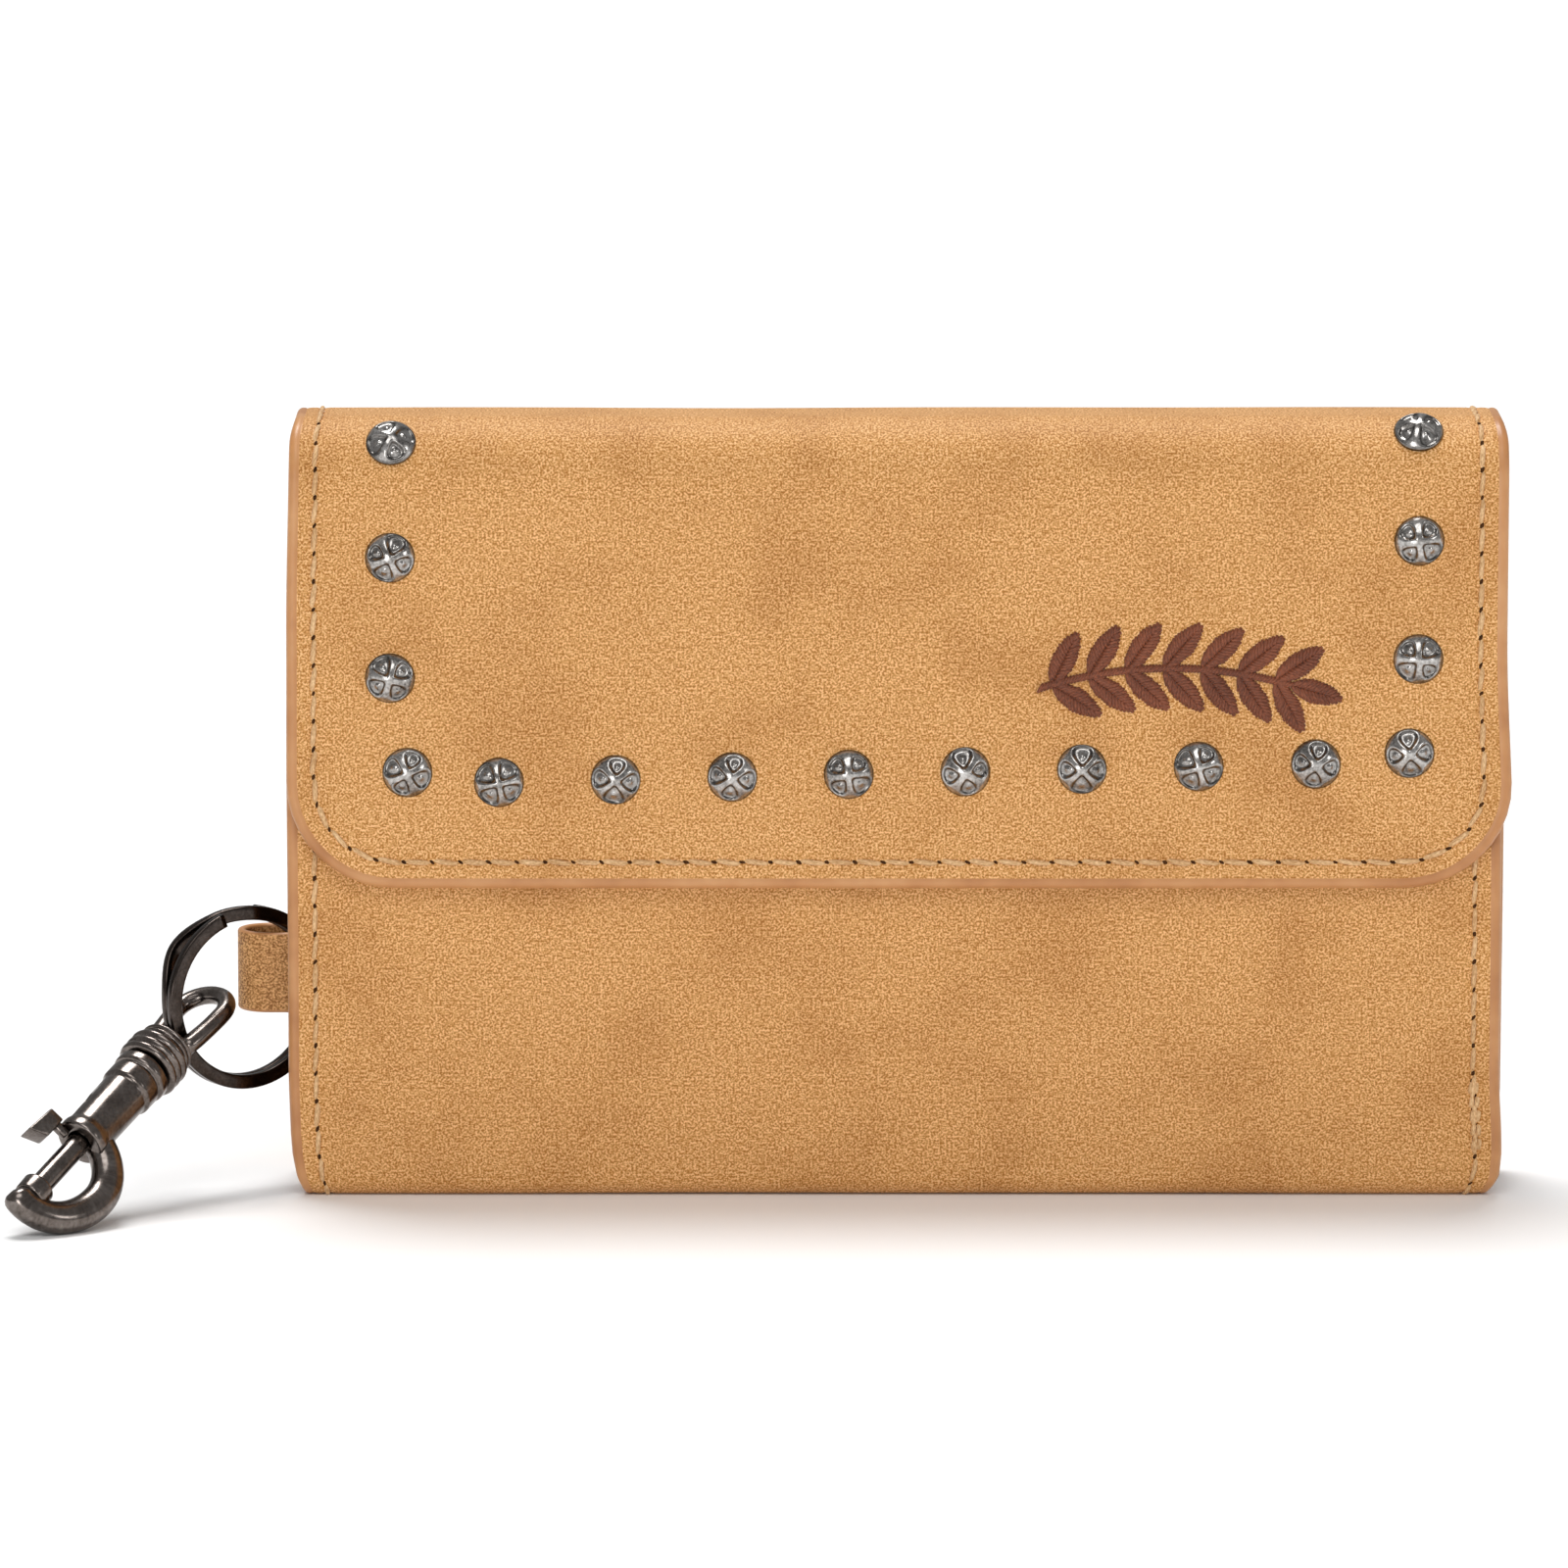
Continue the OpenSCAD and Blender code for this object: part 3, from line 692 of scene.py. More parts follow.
def film_material():
    """Clear soft vinyl with a faint ripple."""
    shader = Shader("clear_film", 0.12, cad=True, IOR=1.45, Transmission_Weight=1.0, Alpha=0.35)
    ripple = shader.noise(0.12, 2.0, 0.5)
    shader.colour(shader.ramp(ripple, (0.0, (0.9, 0.93, 0.95)), (1.0, (0.97, 0.98, 0.99))))
    return shader.bumps((ripple, 0.3, 0.4))


LEATHER = leather_material("leather", rgb(168, 107, 40), rgb(209, 153, 87), rgb(246, 197, 141))
# The key tab's leather is the wallet's leather made darker: painted shade, for the tab that lies in shade.
SHADED_TAB_LEATHER = leather_material("tab_leather", rgb(142, 92, 44), rgb(194, 140, 84), rgb(230, 178, 120))
POCKET_TONES = rgb(166, 112, 56), rgb(202, 147, 90), rgb(232, 180, 123)
POCKET_LEATHER = leather_material("pocket_leather", *POCKET_TONES)
SEAM_LEATHER = leather_material("turned_edges", *POCKET_TONES, cad=True)
EDGE = edge_material()
LINING = lining_material("lining", rgb(96, 58, 32), rgb(140, 92, 56))
POUCH_CLOTH = lining_material("pouch_cloth", rgb(88, 54, 32), rgb(128, 86, 54))
TAPE = lining_material("zip_tape", rgb(84, 50, 26), rgb(116, 74, 42), cad=True)
THREAD = thread_material("seam_thread", rgb(178, 128, 72), rgb(242, 204, 154), 2.2)
BROWN_THREAD = thread_material("brown_thread", rgb(78, 36, 18), rgb(146, 80, 50), 2.6)
# Dark brown painted into the needle holes as their shade.
HOLE_SHADE = hole_shade_material()
STUD_METAL = metal_material(
    "stud_metal", rgb(52, 48, 44), rgb(172, 168, 164), rgb(228, 226, 224), 0.14, 0.28)
GUNMETAL = metal_material(
    "hook_metal", rgb(74, 66, 61), rgb(112, 104, 99), rgb(142, 134, 129), 0.15, 0.27)
DARK_METAL = metal_material(
    "ring_metal", rgb(44, 38, 34), rgb(64, 57, 53), rgb(86, 78, 74), 0.13, 0.25)
ZIP_METAL = metal_material(
    "zip_metal", rgb(96, 78, 52), rgb(172, 146, 100), rgb(214, 192, 150), 0.2, 0.38, cad=True)
CLASP_METAL = metal_material(
    "clasp_metal", rgb(120, 118, 116), rgb(176, 174, 172), rgb(214, 212, 210), 0.18, 0.34, cad=True)
FILM = film_material()


# ---- Leather panels ----

# The two bodies that each bend joins, and where the bend starts and ends
BACK_BEND = ("back_body", "top_spine"), dict(
    start=(0, (BACK_Y - 0.6) * MM, (TOP_Z - TOP_R) * MM),
    end=(0, (BACK_Y - TOP_R) * MM, (TOP_Z - 0.6) * MM))
FLAP_BEND = ("top_spine", "flap"), dict(
    start=(0, 0.0005, TOP_Z * MM), end=(0, (FLAP_Y + 5.5) * MM, TOP_Z * MM))
FRONT_BEND = ("back_body", "front_panel"), dict(
    start=(0, (PANEL_Y + LOW_R) * MM, 0.0004), end=(0, (PANEL_Y + 0.4) * MM, LOW_R * MM))


def fit_soft(piece, bend, slot, *nodes):
    """Fixes a piece's place in its mesh and hides the CAD nodes that it stands for. bend and slot are not
    used.
    """
    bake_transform(piece)
    if nodes:
        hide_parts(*nodes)


PANELS = [
    # name, joint, free end, corner, bend, nodes of the leather, node of the lining
    ("flap", TOP_SEAM, FLAP_END, FLAP_CORNER, FLAP_BEND, ("flap_cover", "flap_board"), "flap_lining"),
    ("front", FRONT_SEAM, 0.0, PANEL_CORNER, FRONT_BEND, ("front_cover", "front_board"), "front_lining"),
]
COVER = 0.0, SHELL_T, leather_relief, [LEATHER, EDGE, EDGE]
INSIDE = SHELL_T, LINING_T, no_relief, [LINING, LINING, LINING]

for name, joint_at, free_at, corner, bend, leather_nodes, lining_node in PANELS:
    fit_soft(shell(name + "_leather", Panel(joint_at, free_at, corner), *COVER),
             bend, "leather", *leather_nodes)
    fit_soft(shell(name + "_inside", Panel(joint_at, free_at, corner, LINING_INSET), *INSIDE),
             bend, "lining", lining_node)

fit_soft(back_shell("back_leather", FRONT_SEAM, TOP_SEAM, HALF_W, *COVER),
         BACK_BEND, "leather", "back_cover", "back_board", "top_cover", "top_board")
fit_soft(back_shell("back_inside", FRONT_SEAM, TOP_SEAM, HALF_W - LINING_INSET, *INSIDE),
         BACK_BEND, "lining", "back_lining", "top_lining")


# ---- Stitches ----

def resample(points, pitch):
    """Places at about the pitch along a line of (across, along) points."""
    lengths = [math.dist(a, b) for a, b in zip(points, points[1:])]
    total = sum(lengths)
    count = round(total / pitch)
    found, passed, i = [], 0.0, 0
    for k in range(count + 1):
        target = min(total * k / count, total - 1e-6)
        while passed + lengths[i] < target:
            passed += lengths[i]
            i += 1
        f = (target - passed) / lengths[i]
        found.append(Vector(points[i]) * (1 - f) + Vector(points[i + 1]) * f)
    return found


def add_strand(heap, a, b, thick, sunk, raised, rings=7, sides=7, put=place):
    """A strand of thread between two places, from the depth sunk at its ends to raised at its middle.
    put turns two coordinates and a depth into a point in space."""
    over = (b - a).normalized().orthogonal()
    points, rest = [], []
    for i in range(rings):
        f = i / (rings - 1)
        spot = a + (b - a) * f
        bulge = math.sin(math.pi * f) ** 0.6 if 0 < f < 1 else 0.0
        depth = sunk + (raised - sunk) * bulge
        size = thick * (0.7 + 0.3 * bulge)
        for k in range(sides):
            angle = 2 * math.pi * k / sides
            here = spot + over * size * math.cos(angle)
            points.append(put(here.x, here.y, depth - size * 0.8 * math.sin(angle)))
            rest.append(Vector((here.x, here.y, angle)))
    heap.add(points, tube_faces(rings, sides), 0, rest)


THREAD_R = 0.34, 0.4
STITCH_SUNK = 0.36
STITCH_RAISED = -0.08
HOLE_AT = 0.1


def add_stitch(heap, a, b, rng):
    """One stitch that leans a little and dips into the holes at both ends."""
    over = (b - a).normalized().orthogonal() * rng.uniform(0.1, 0.28)
    reach = (b - a) * 0.05
    add_strand(heap, a + reach - over, b - reach + over, rng.uniform(*THREAD_R), STITCH_SUNK, STITCH_RAISED)


def add_hole(heap, spot, way, rng):
    """The mouth of a needle hole, a shallow dent in the leather painted dark as its shade."""
    over = Vector((-way.y, way.x))
    long, wide = rng.uniform(0.36, 0.56), rng.uniform(0.2, 0.3)
    turn = Matrix.Rotation(rng.uniform(0.1, 0.9), 2)
    way, over = turn @ way, turn @ over
    points = [place(spot.x, spot.y, HOLE_AT - 0.05), place(spot.x, spot.y, HOLE_AT + 0.3)]
    for k in range(8):
        angle = math.pi * k / 4
        here = spot + way * long * math.cos(angle) + over * wide * math.sin(angle)
        points.append(place(here.x, here.y, HOLE_AT + 0.03))
    faces = []
    for k in range(8):
        m = 2 + (k + 1) % 8
        faces += [[0, 2 + k, m], [1, m, 2 + k]]
    heap.add(points, faces, 1)


def add_seam(heap, points, rng, pitch=STITCH_PITCH):
    """Stitches and their needle holes along a line of (across, along) points."""
    spots = resample(points, pitch)
    for a, b in zip(spots, spots[1:]):
        add_stitch(heap, a, b, rng)
    for i, spot in enumerate(spots):
        after = spots[min(i + 1, len(spots) - 1)] - spots[max(i - 1, 0)]
        add_hole(heap, spot, after.normalized(), rng)


def seam_line(panel):
    """The line of a panel's seam, as (across, along) points."""
    steps = [panel.length * 0.01 * k for k in range(101)]
    sides = [reach for reach in steps if reach <= panel.length - panel.corner]
    flat = panel.half - panel.corner
    line = panel.line(STITCH_INSET, sides, [-flat, 0, flat], 12)
    return [(across, panel.along(reach)) for across, reach in line]


# Two rows of short stitches that hold the front panel's right edge, measured from its top
TACK_ROWS = -0.35, 0.4
TACK_LOW = 16.5
TACK_HIGH = 6.5
TACK_PITCH = 2.0

for seed, (name, joint_at, free_at, corner, bend, _, _) in enumerate(PANELS):
    rng = random.Random(seed)
    heap = Heap()
    add_seam(heap, seam_line(Panel(joint_at, free_at, corner)), rng)
    if name == "front":
        for row in TACK_ROWS:
            across = HALF_W - STITCH_INSET + row
            line = [(across, PANEL_TOP - TACK_LOW), (across + 0.2, PANEL_TOP - TACK_HIGH)]
            add_seam(heap, line, rng, TACK_PITCH)
    fit_soft(heap.piece(name + "_stitching", [THREAD, HOLE_SHADE]), bend, "thread")

heap = Heap()
rng = random.Random(11)
for side in (-1, 1):
    edge = side * (HALF_W - STITCH_INSET)
    add_seam(heap, [(edge, FRONT_SEAM), (edge, TOP_SEAM)], rng)
fit_soft(heap.piece("back_stitching", [THREAD, HOLE_SHADE]), BACK_BEND, "thread")


# ---- Studs ----

def clusters(node, reach):
    """A CAD node's points in mm, gathered into its separate forms, which are more than reach apart."""
    points = [vertex.co / MM for vertex in frame["nodes"][node].data.vertices]
    tree = KDTree(len(points))
    for i, point in enumerate(points):
        tree.insert(point, i)
    tree.balance()
    waiting, groups = set(range(len(points))), []
    while waiting:
        edge = [min(waiting)]
        waiting.discard(edge[0])
        group = []
        while edge:
            here = edge.pop()
            group.append(points[here])
            near = [i for _, i, _ in tree.find_range(points[here], reach) if i in waiting]
            waiting.difference_update(near)
            edge += near
        groups.append(group)
    return groups


def on_strip(point, low, high):
    """(across, along) of the place on the strip nearest to a point."""
    best = min(
        (low + (high - low) * k / 2000 for k in range(2001)),
        key=lambda along: (strip.at(along)[0] - Vector((point.y, point.z))).length)
    return point.x, best


STUD_R = 3.5
STUD_H = 1.9
STUD_SUNK = 0.5
HOLLOW_AT = 1.95
HOLLOW_LONG = 1.25
HOLLOW_WIDE = 1.2
HOLLOW_FLARE = 0.55
HOLLOW_DEPTH = 0.62


def stud_form(matrix, rng):
    """A dome with four pressed hollows that leave a smooth cross between them."""
    rings, sides = 20, 72
    ball = (STUD_R ** 2 + STUD_H ** 2) / (2 * STUD_H)
    turn = rng.uniform(0, math.pi / 2)
    sizes = [rng.uniform(0.85, 1.12) for _ in range(4)]
    points, shade = [matrix @ Vector((0, 0, STUD_H))], [0.0]
    for i in range(1, rings + 1):
        radius = STUD_R * (i / rings) ** 0.85
        for k in range(sides):
            angle = 2 * math.pi * k / sides
            height = math.sqrt(ball ** 2 - radius ** 2) - ball + STUD_H
            press, rim = 0.0, 0.0
            for corner, size in enumerate(sizes):
                off = angle - turn - corner * math.pi / 2
                a, b = radius * math.cos(off) - HOLLOW_AT, radius * math.sin(off)
                wide = (HOLLOW_WIDE + HOLLOW_FLARE * max(-1.0, min(1.0, a))) * size
                far = math.hypot(a / (HOLLOW_LONG * size), b / max(wide, 0.25))
                share = smooth((1.1 - far) / 0.42)
                press = max(press, share - 0.35 * smooth((0.45 - far) / 0.4))
                rim = max(rim, 4 * share * (1 - share))
            points.append(matrix @ Vector(
                (radius * math.cos(angle), radius * math.sin(angle), height - HOLLOW_DEPTH * press)))
            # Painted shade round the rims of the hollows and a little in them, and a painted shadow line on
            # the outer rings where the dome meets the leather.
            shade.append(min(1.0, 0.8 * rim + 0.2 * press + (0.6 if i >= rings - 1 else 0.0)))
    # The foot, sunk into the leather, is painted fully dark as shadow.
    for k in range(sides):
        angle = 2 * math.pi * k / sides
        foot = STUD_R * 0.97 * math.cos(angle), STUD_R * 0.97 * math.sin(angle), -STUD_SUNK
        points.append(matrix @ Vector(foot))
        shade.append(1.0)
    faces = [[0, 1 + k, 1 + (k + 1) % sides] for k in range(sides)]
    for i in range(rings):
        a, b = 1 + i * sides, 1 + (i + 1) * sides
        faces += [[a + k, b + k, b + (k + 1) % sides, a + (k + 1) % sides] for k in range(sides)]
    faces.append([1 + rings * sides + k for k in reversed(range(sides))])
    return points, faces, shade


def standing(across, along):
    """A matrix with its origin on the strip and its Z out of the leather."""
    foot = place(across, along, 0.0)
    out = (place(across, along, -1.0) - foot).normalized()
    right = Vector((1, 0, 0))
    up = out.cross(right).normalized()
    matrix = Matrix((right, up, out)).transposed().to_4x4()
    matrix.translation = foot
    return matrix


heap = Heap()
rng = random.Random(5)
for group in sorted(clusters("dome_studs", STUD_R), key=lambda g: (g[0].z, g[0].x)):
    low = Vector([min(p[i] for p in group) for i in range(3)])
    high = Vector([max(p[i] for p in group) for i in range(3)])
    across, along = on_strip((low + high) / 2, TOP_SEAM, FLAP_END)
    points, faces, shade = stud_form(standing(across, along), rng)
    heap.add(points, faces, 0, None, shade)
fit(heap.piece("domed_studs", [STUD_METAL]), "flap", "stud_metal", "dome_studs")


# ---- Embroidery ----

SPRIG_R = 60
SPRIG_CENTRE = Vector((38, 75.5 - SPRIG_R))
SPRIG_ANGLES = 74, 108
SPRIG_MIDDLE = 91
LEAF_GAP = 5
LEAF_LONG = 8.5
TIP_LEAF_LONG = 8.0
LEAF_WIDE = 3.3
LEAF_TURN = 48
THREAD_PITCH = 0.5


def flap_spot(point):
    """(across, along) of an (x, z) point on the flap's flat front."""
    return Vector((point.x, FLAP_START + TOP_Z - TOP_R - point.y))


def turned(degrees):
    """A direction in the flap's plane."""
    return Vector((math.cos(math.radians(degrees)), math.sin(math.radians(degrees))))


def add_leaf(heap, foot, degrees, long, rng):
    """A satin-stitched leaf: slanted strands from its midrib out to both edges."""
    way = turned(degrees)
    over = Vector((-way.y, way.x))
    radius = (long ** 2 + LEAF_WIDE ** 2) / (4 * LEAF_WIDE)
    count = round(long / THREAD_PITCH)
    for side in (-1, 1):
        for k in range(count):
            t = long * (k + 0.3) / count
            t_out = min(t + 1.5, long)
            half = math.sqrt(max(radius ** 2 - (t_out - long / 2) ** 2, 0)) - (radius - LEAF_WIDE / 2)
            if half < 0.12:
                continue
            inner = foot + way * t - over * side * 0.1
            outer = foot + way * t_out + over * side * (half + rng.uniform(-0.08, 0.12))
            add_strand(heap, flap_spot(inner), flap_spot(outer), 0.3, 0.1, -0.28, 5, 6)


heap = Heap()
rng = random.Random(21)
for i in range(-3, 4):
    degrees = SPRIG_MIDDLE - i * LEAF_GAP
    for side in (-1, 1):
        foot = SPRIG_CENTRE + turned(degrees) * SPRIG_R
        add_leaf(heap, foot, degrees - 90 + side * LEAF_TURN, LEAF_LONG, rng)
tip = SPRIG_CENTRE + turned(SPRIG_ANGLES[0]) * SPRIG_R
add_leaf(heap, tip, SPRIG_ANGLES[0] - 90, TIP_LEAF_LONG, rng)
stem_steps = 80
for k in range(stem_steps):
    degrees = SPRIG_ANGLES[0] + (SPRIG_ANGLES[1] - SPRIG_ANGLES[0]) * k / stem_steps
    below = SPRIG_CENTRE + turned(degrees + 0.55) * (SPRIG_R - 0.5)
    above = SPRIG_CENTRE + turned(degrees - 0.55) * (SPRIG_R + 0.5)
    add_strand(heap, flap_spot(below), flap_spot(above), 0.25, -0.05, -0.42, 5, 6)
fit(heap.piece("sprig_embroidery", [BROWN_THREAD]), "flap", "thread", "embroidery")


# ---- Key tab ----

def box_loop(wide, high, radius, steps=3):
    """A rectangle about the origin with round corners, as a loop of (a, b)."""
    loop = []
    for turn, (x, y) in enumerate(((1, 1), (-1, 1), (-1, -1), (1, -1))):
        for k in range(steps + 1):
            angle = math.pi / 2 * (turn + k / steps)
            loop.append((x * (wide / 2 - radius) + radius * math.cos(angle),
                         y * (high / 2 - radius) + radius * math.sin(angle)))
    return loop


def add_sweep(heap, path, loop, up, pick=lambda k: 0, sizes=None):
    """Sweeps a loop of (side, up) along a path. sizes has the loop's two scales at each point."""
    points, rest, travelled = [], [], 0.0
    for i, spot in enumerate(path):
        before, after = path[max(i - 1, 0)], path[min(i + 1, len(path) - 1)]
        ahead = (after - before).normalized()
        side = ahead.cross(up).normalized()
        top = side.cross(ahead).normalized()
        wide, tall = sizes[i] if sizes else (1.0, 1.0)
        travelled += (spot - before).length
        for a, b in loop:
            points.append(spot + side * a * wide + top * b * tall)
            rest.append(Vector((travelled, b, a)))
    picks = [pick(k) for k in range(len(loop))] * (len(path) - 1) + [pick(0)] * 2
    heap.add(points, tube_faces(len(path), len(loop)), picks, rest)


TAB_T = 1.1
TAB_OUTER = 4.6
TAB_NECK_X = -78.6
TAB_TAIL_Y = (3.95, 5.05)

tab_low, tab_high = box_mm("key_tab")
TAB_W = tab_high.z - tab_low.z
tab_middle = Vector((tab_low.x + TAB_OUTER, tab_low.y + TAB_OUTER, (tab_low.z + tab_high.z) / 2))
tab_radius = TAB_OUTER - TAB_T / 2


def spaced(a, b, step):
    """Points from a up to b, without b, at about the step."""
    count = max(1, round((b - a).length / step))
    return [a + (b - a) * k / count for k in range(count)]


corners = [Vector((tab_high.x, TAB_TAIL_Y[1], tab_middle.z)),
           Vector((TAB_NECK_X, tab_middle.y + tab_radius, tab_middle.z)),
           tab_middle + Vector((0, tab_radius, 0))]
path = spaced(corners[0], corners[1], 0.8) + spaced(corners[1], corners[2], 0.8)
for k in range(25):
    angle = math.pi / 2 + math.pi * k / 24
    path.append(tab_middle + Vector((math.cos(angle), math.sin(angle), 0)) * tab_radius)
neck = Vector((TAB_NECK_X, tab_middle.y - tab_radius, tab_middle.z))
path += spaced(path[-1], neck, 0.8)[1:]
path += spaced(neck, Vector((tab_high.x, TAB_TAIL_Y[0], tab_middle.z)), 0.8)
loop = box_loop(TAB_T, TAB_W, 0.42, 4)
dense = []
for (a, b), (c, d) in zip(loop, loop[1:] + loop[:1]):
    steps = max(1, round(math.dist((a, b), (c, d)) / 1.2))
    dense += [(a + (c - a) * k / steps, b + (d - b) * k / steps) for k in range(steps)]
edge_band = TAB_W / 2 - 0.4  # beyond this the tab's cut edge shows
heap = Heap()
add_sweep(heap, path, dense, Vector((0, 0, 1)), lambda k: 1 if abs(dense[k][1]) > edge_band else 0)
# The tab takes the darker leather, which is painted shade.
fit(heap.piece("key_tab_loop", [SHADED_TAB_LEATHER, EDGE]), "back_body", "tab_leather", "key_tab")


# ---- Split ring ----

RING_YAW = math.radians(33.5)
RING_WIRE = 2.0
RING_TURN = 1.3
# In degrees: where the ring's wire crosses to its second turn, how long it is and how long the climb
RING_CROSSING = 95
RING_START = 14
RING_SWEEP = 692
RING_CLIMB = 28
RING_SPLAY = 2.3
RING_SPLAY_AT = 407
RING_SPLAY_OVER = 22

ring_low, ring_high = box_mm("split_ring")
ring_centre = (ring_low + ring_high) / 2
ring_r = (ring_high.z - ring_low.z) / 2
ring_level = Vector((math.cos(RING_YAW), math.sin(RING_YAW), 0))
ring_axis = Vector((-math.sin(RING_YAW), math.cos(RING_YAW), 0))
path = []
ring_steps = 200
for k in range(ring_steps + 1):
    turn = RING_START + RING_SWEEP * k / ring_steps
    layer = (smooth((turn - RING_SWEEP / 2) / RING_CLIMB) - 0.5) * RING_TURN
    layer += RING_SPLAY * hump(turn - RING_SPLAY_AT, RING_SPLAY_OVER)
    angle = math.radians(RING_CROSSING + turn)
    out = ring_level * math.cos(angle) + Vector((0, 0, math.sin(angle)))
    path.append(ring_centre + out * (ring_r - RING_WIRE / 2) + ring_axis * layer)
heap = Heap()
add_sweep(heap, path, box_loop(RING_WIRE, RING_TURN - 0.06, 0.3, 3), ring_axis)
fit(heap.piece("two_turn_ring", [DARK_METAL]), "ring", "hook_metal", "split_ring")


# ---- Snap hook, along its own axis from the ring (0) to the tip (negative) ----

HOOK_ROLL = math.radians(-38)
EYE_TOP = 11
EYE_FOOT = -2.6
EYE_HALF = 3.9
EYE_PINCH = 1.1
EYE_WIRE = 1.3
COLLAR_TOP = -2.2
COLLAR_LOW = -8.5
# The top, the foot, the radius and the number of ridges of each collar
COLLARS = (-2.5, -4.2, 3.6, 2), (-4.4, -8.35, 4.15, 3)
RIDGE_H = 0.5
RIVET_R = 1.6
RIVET_HEAD_R = 2.4
RIVET_LOW = -11.1
BARREL_TOP = -8.8
BARREL_R = 3.5
MOUTH = -25.4
BORE_GAP = 0.2
BEND_Z = -30.2
BEND_R = 7.3
BEND_LOW = 9.2
BEND_START = 74
BEND_END = -108
BEND_NOSE = 14
SEAT_Z = -35.6
SEAT_R = 2.42
BOLT_R = 1.6
BOLT_TOP = -20.2
BOLT_TRAVEL = 6
STEM_Z = -26
STEM_R = 0.78
SLOT_HALF = 1.0
KNOB_HALF = 1.6

hook_up = Vector(JOINTS["hook_swivel"]["axis"]).normalized()
hook_side = Vector(JOINTS["hook_eye_swing"]["axis"]).normalized()
eye_matrix = Matrix((hook_side, hook_up.cross(hook_side), hook_up)).transposed().to_4x4()
eye_matrix.translation = Vector(JOINTS["hook_swivel"]["pos_m"]) / MM
hook_matrix = eye_matrix @ Matrix.Rotation(HOOK_ROLL, 4, "Z")


def metal_piece(heap, name, body, *nodes):
    return fit(heap.piece(name, [GUNMETAL]), body, "hook_metal", *nodes)


def block(outline, half):
    """A block in the hook's axes, from y = -half to half, with an outline of (x, z)."""
    points = [hook_matrix @ Vector((x, y, z)) for y in (-half, half) for x, z in outline]
    return points, tube_faces(2, len(outline))


def sideways(x, z):
    """A matrix at a place on the hook whose Z points to the thumb piece's side."""
    return hook_matrix @ Matrix.Translation((x, 0, z)) @ Matrix.Rotation(-math.pi / 2, 4, "Y")


def circle_loop(sides, radius=1.0):
    return [(radius * math.cos(2 * math.pi * k / sides), radius * math.sin(2 * math.pi * k / sides))
            for k in range(sides)]


def eye_path():
    """The eye's wire from one foot over the top to the other foot."""
    arc_z = EYE_TOP - EYE_WIRE - EYE_HALF
    leg, bend = [], []
    for k in range(8):
        pinch = EYE_PINCH * (1 - k / 8) ** 2
        leg.append(Vector((0, -EYE_HALF + pinch, EYE_FOOT + (arc_z - EYE_FOOT) * k / 8)))
    for k in range(25):
        angle = math.pi * k / 24
        bend.append(Vector((0, -EYE_HALF * math.cos(angle), arc_z + EYE_HALF * math.sin(angle))))
    return leg + bend + [Vector((0, -p.y, p.z)) for p in reversed(leg)]


def ridges_between(top, low, radius, count):
    """Round ridges one below the other, as (radius, z)."""
    steps = 12 * count
    waves = [abs(math.sin(math.pi * count * k / steps)) ** 0.7 for k in range(steps + 1)]
    return [(radius + RIDGE_H * wave, top + (low - top) * k / steps) for k, wave in enumerate(waves)]


path = eye_path()
sizes = [(1 + 0.12 * max(0, 1 - abs(p.z + 1) / 3), 1 - 0.05 * max(0, p.z / EYE_TOP)) for p in path]
heap = Heap()
add_sweep(heap, [eye_matrix @ p for p in path], circle_loop(20, EYE_WIRE),
          eye_matrix.to_3x3() @ Vector((1, 0, 0)), sizes=sizes)
profile = [(0, COLLAR_TOP), (2.5, COLLAR_TOP), (3.2, COLLAR_TOP - 0.1)]
for collar in COLLARS:
    profile += ridges_between(*collar)
heap.turn(profile + [(2.4, COLLAR_LOW), (0, COLLAR_LOW)], eye_matrix, 48)
heap.turn([(0, -8.3), (RIVET_R, -8.3), (RIVET_R, RIVET_LOW + 0.9), (RIVET_HEAD_R, RIVET_LOW + 0.9),
           (RIVET_HEAD_R, RIVET_LOW), (0, RIVET_LOW)], eye_matrix, round_by=0.2)
metal_piece(heap, "hook_eye", "swivel_eye", "swivel_eye")


def hook_shell():
    """The barrel with its two rims, its bore and the slot for the thumb piece, cut from one form."""
    outline = [
        (0, BARREL_TOP), (4.1, BARREL_TOP), (4.1, -10.35), (3.45, -10.7), (3.9, -11.1), (3.9, -13.5),
        (BARREL_R, -13.9), (BARREL_R - 0.05, MOUTH + 2.2), (BARREL_R + 0.2, MOUTH + 1.3),
        (BARREL_R + 0.12, MOUTH), (BOLT_R + BORE_GAP, MOUTH), (BOLT_R + BORE_GAP, MOUTH + 2.5),
        (0, MOUTH + 2.5)]
    barrel = Heap()
    barrel.turn(outline, hook_matrix, 64, 0.42)
    inner, outer = 2.2, 5.4
    low, high = MOUTH + 1.6, STEM_Z + BOLT_TRAVEL + 1.2
    knife = Heap()
    knife.turn([(0, 0), (SLOT_HALF, 0), (SLOT_HALF, outer - inner), (0, outer - inner)],
               sideways(-inner, high), 24)
    knife.add(*block([(-outer, low), (-inner, low), (-inner, high), (-outer, high)], SLOT_HALF))
    return cut(barrel.piece("hook_barrel", [GUNMETAL]), knife.piece("slot_knife", [GUNMETAL]))


def cut(body, knife):
    """body with the knife's form taken out, as a plain mesh. The knife is removed."""
    work = body.modifiers.new("cut", "BOOLEAN")
    work.object = knife
    work.solver = "EXACT"
    work.use_self = True
    graph = bpy.context.evaluated_depsgraph_get()
    mesh = bpy.data.meshes.new_from_object(body.evaluated_get(graph))
    body.modifiers.clear()
    body.data = mesh
    bpy.data.objects.remove(knife)
    return body


fit(hook_shell(), "hook", "hook_metal")

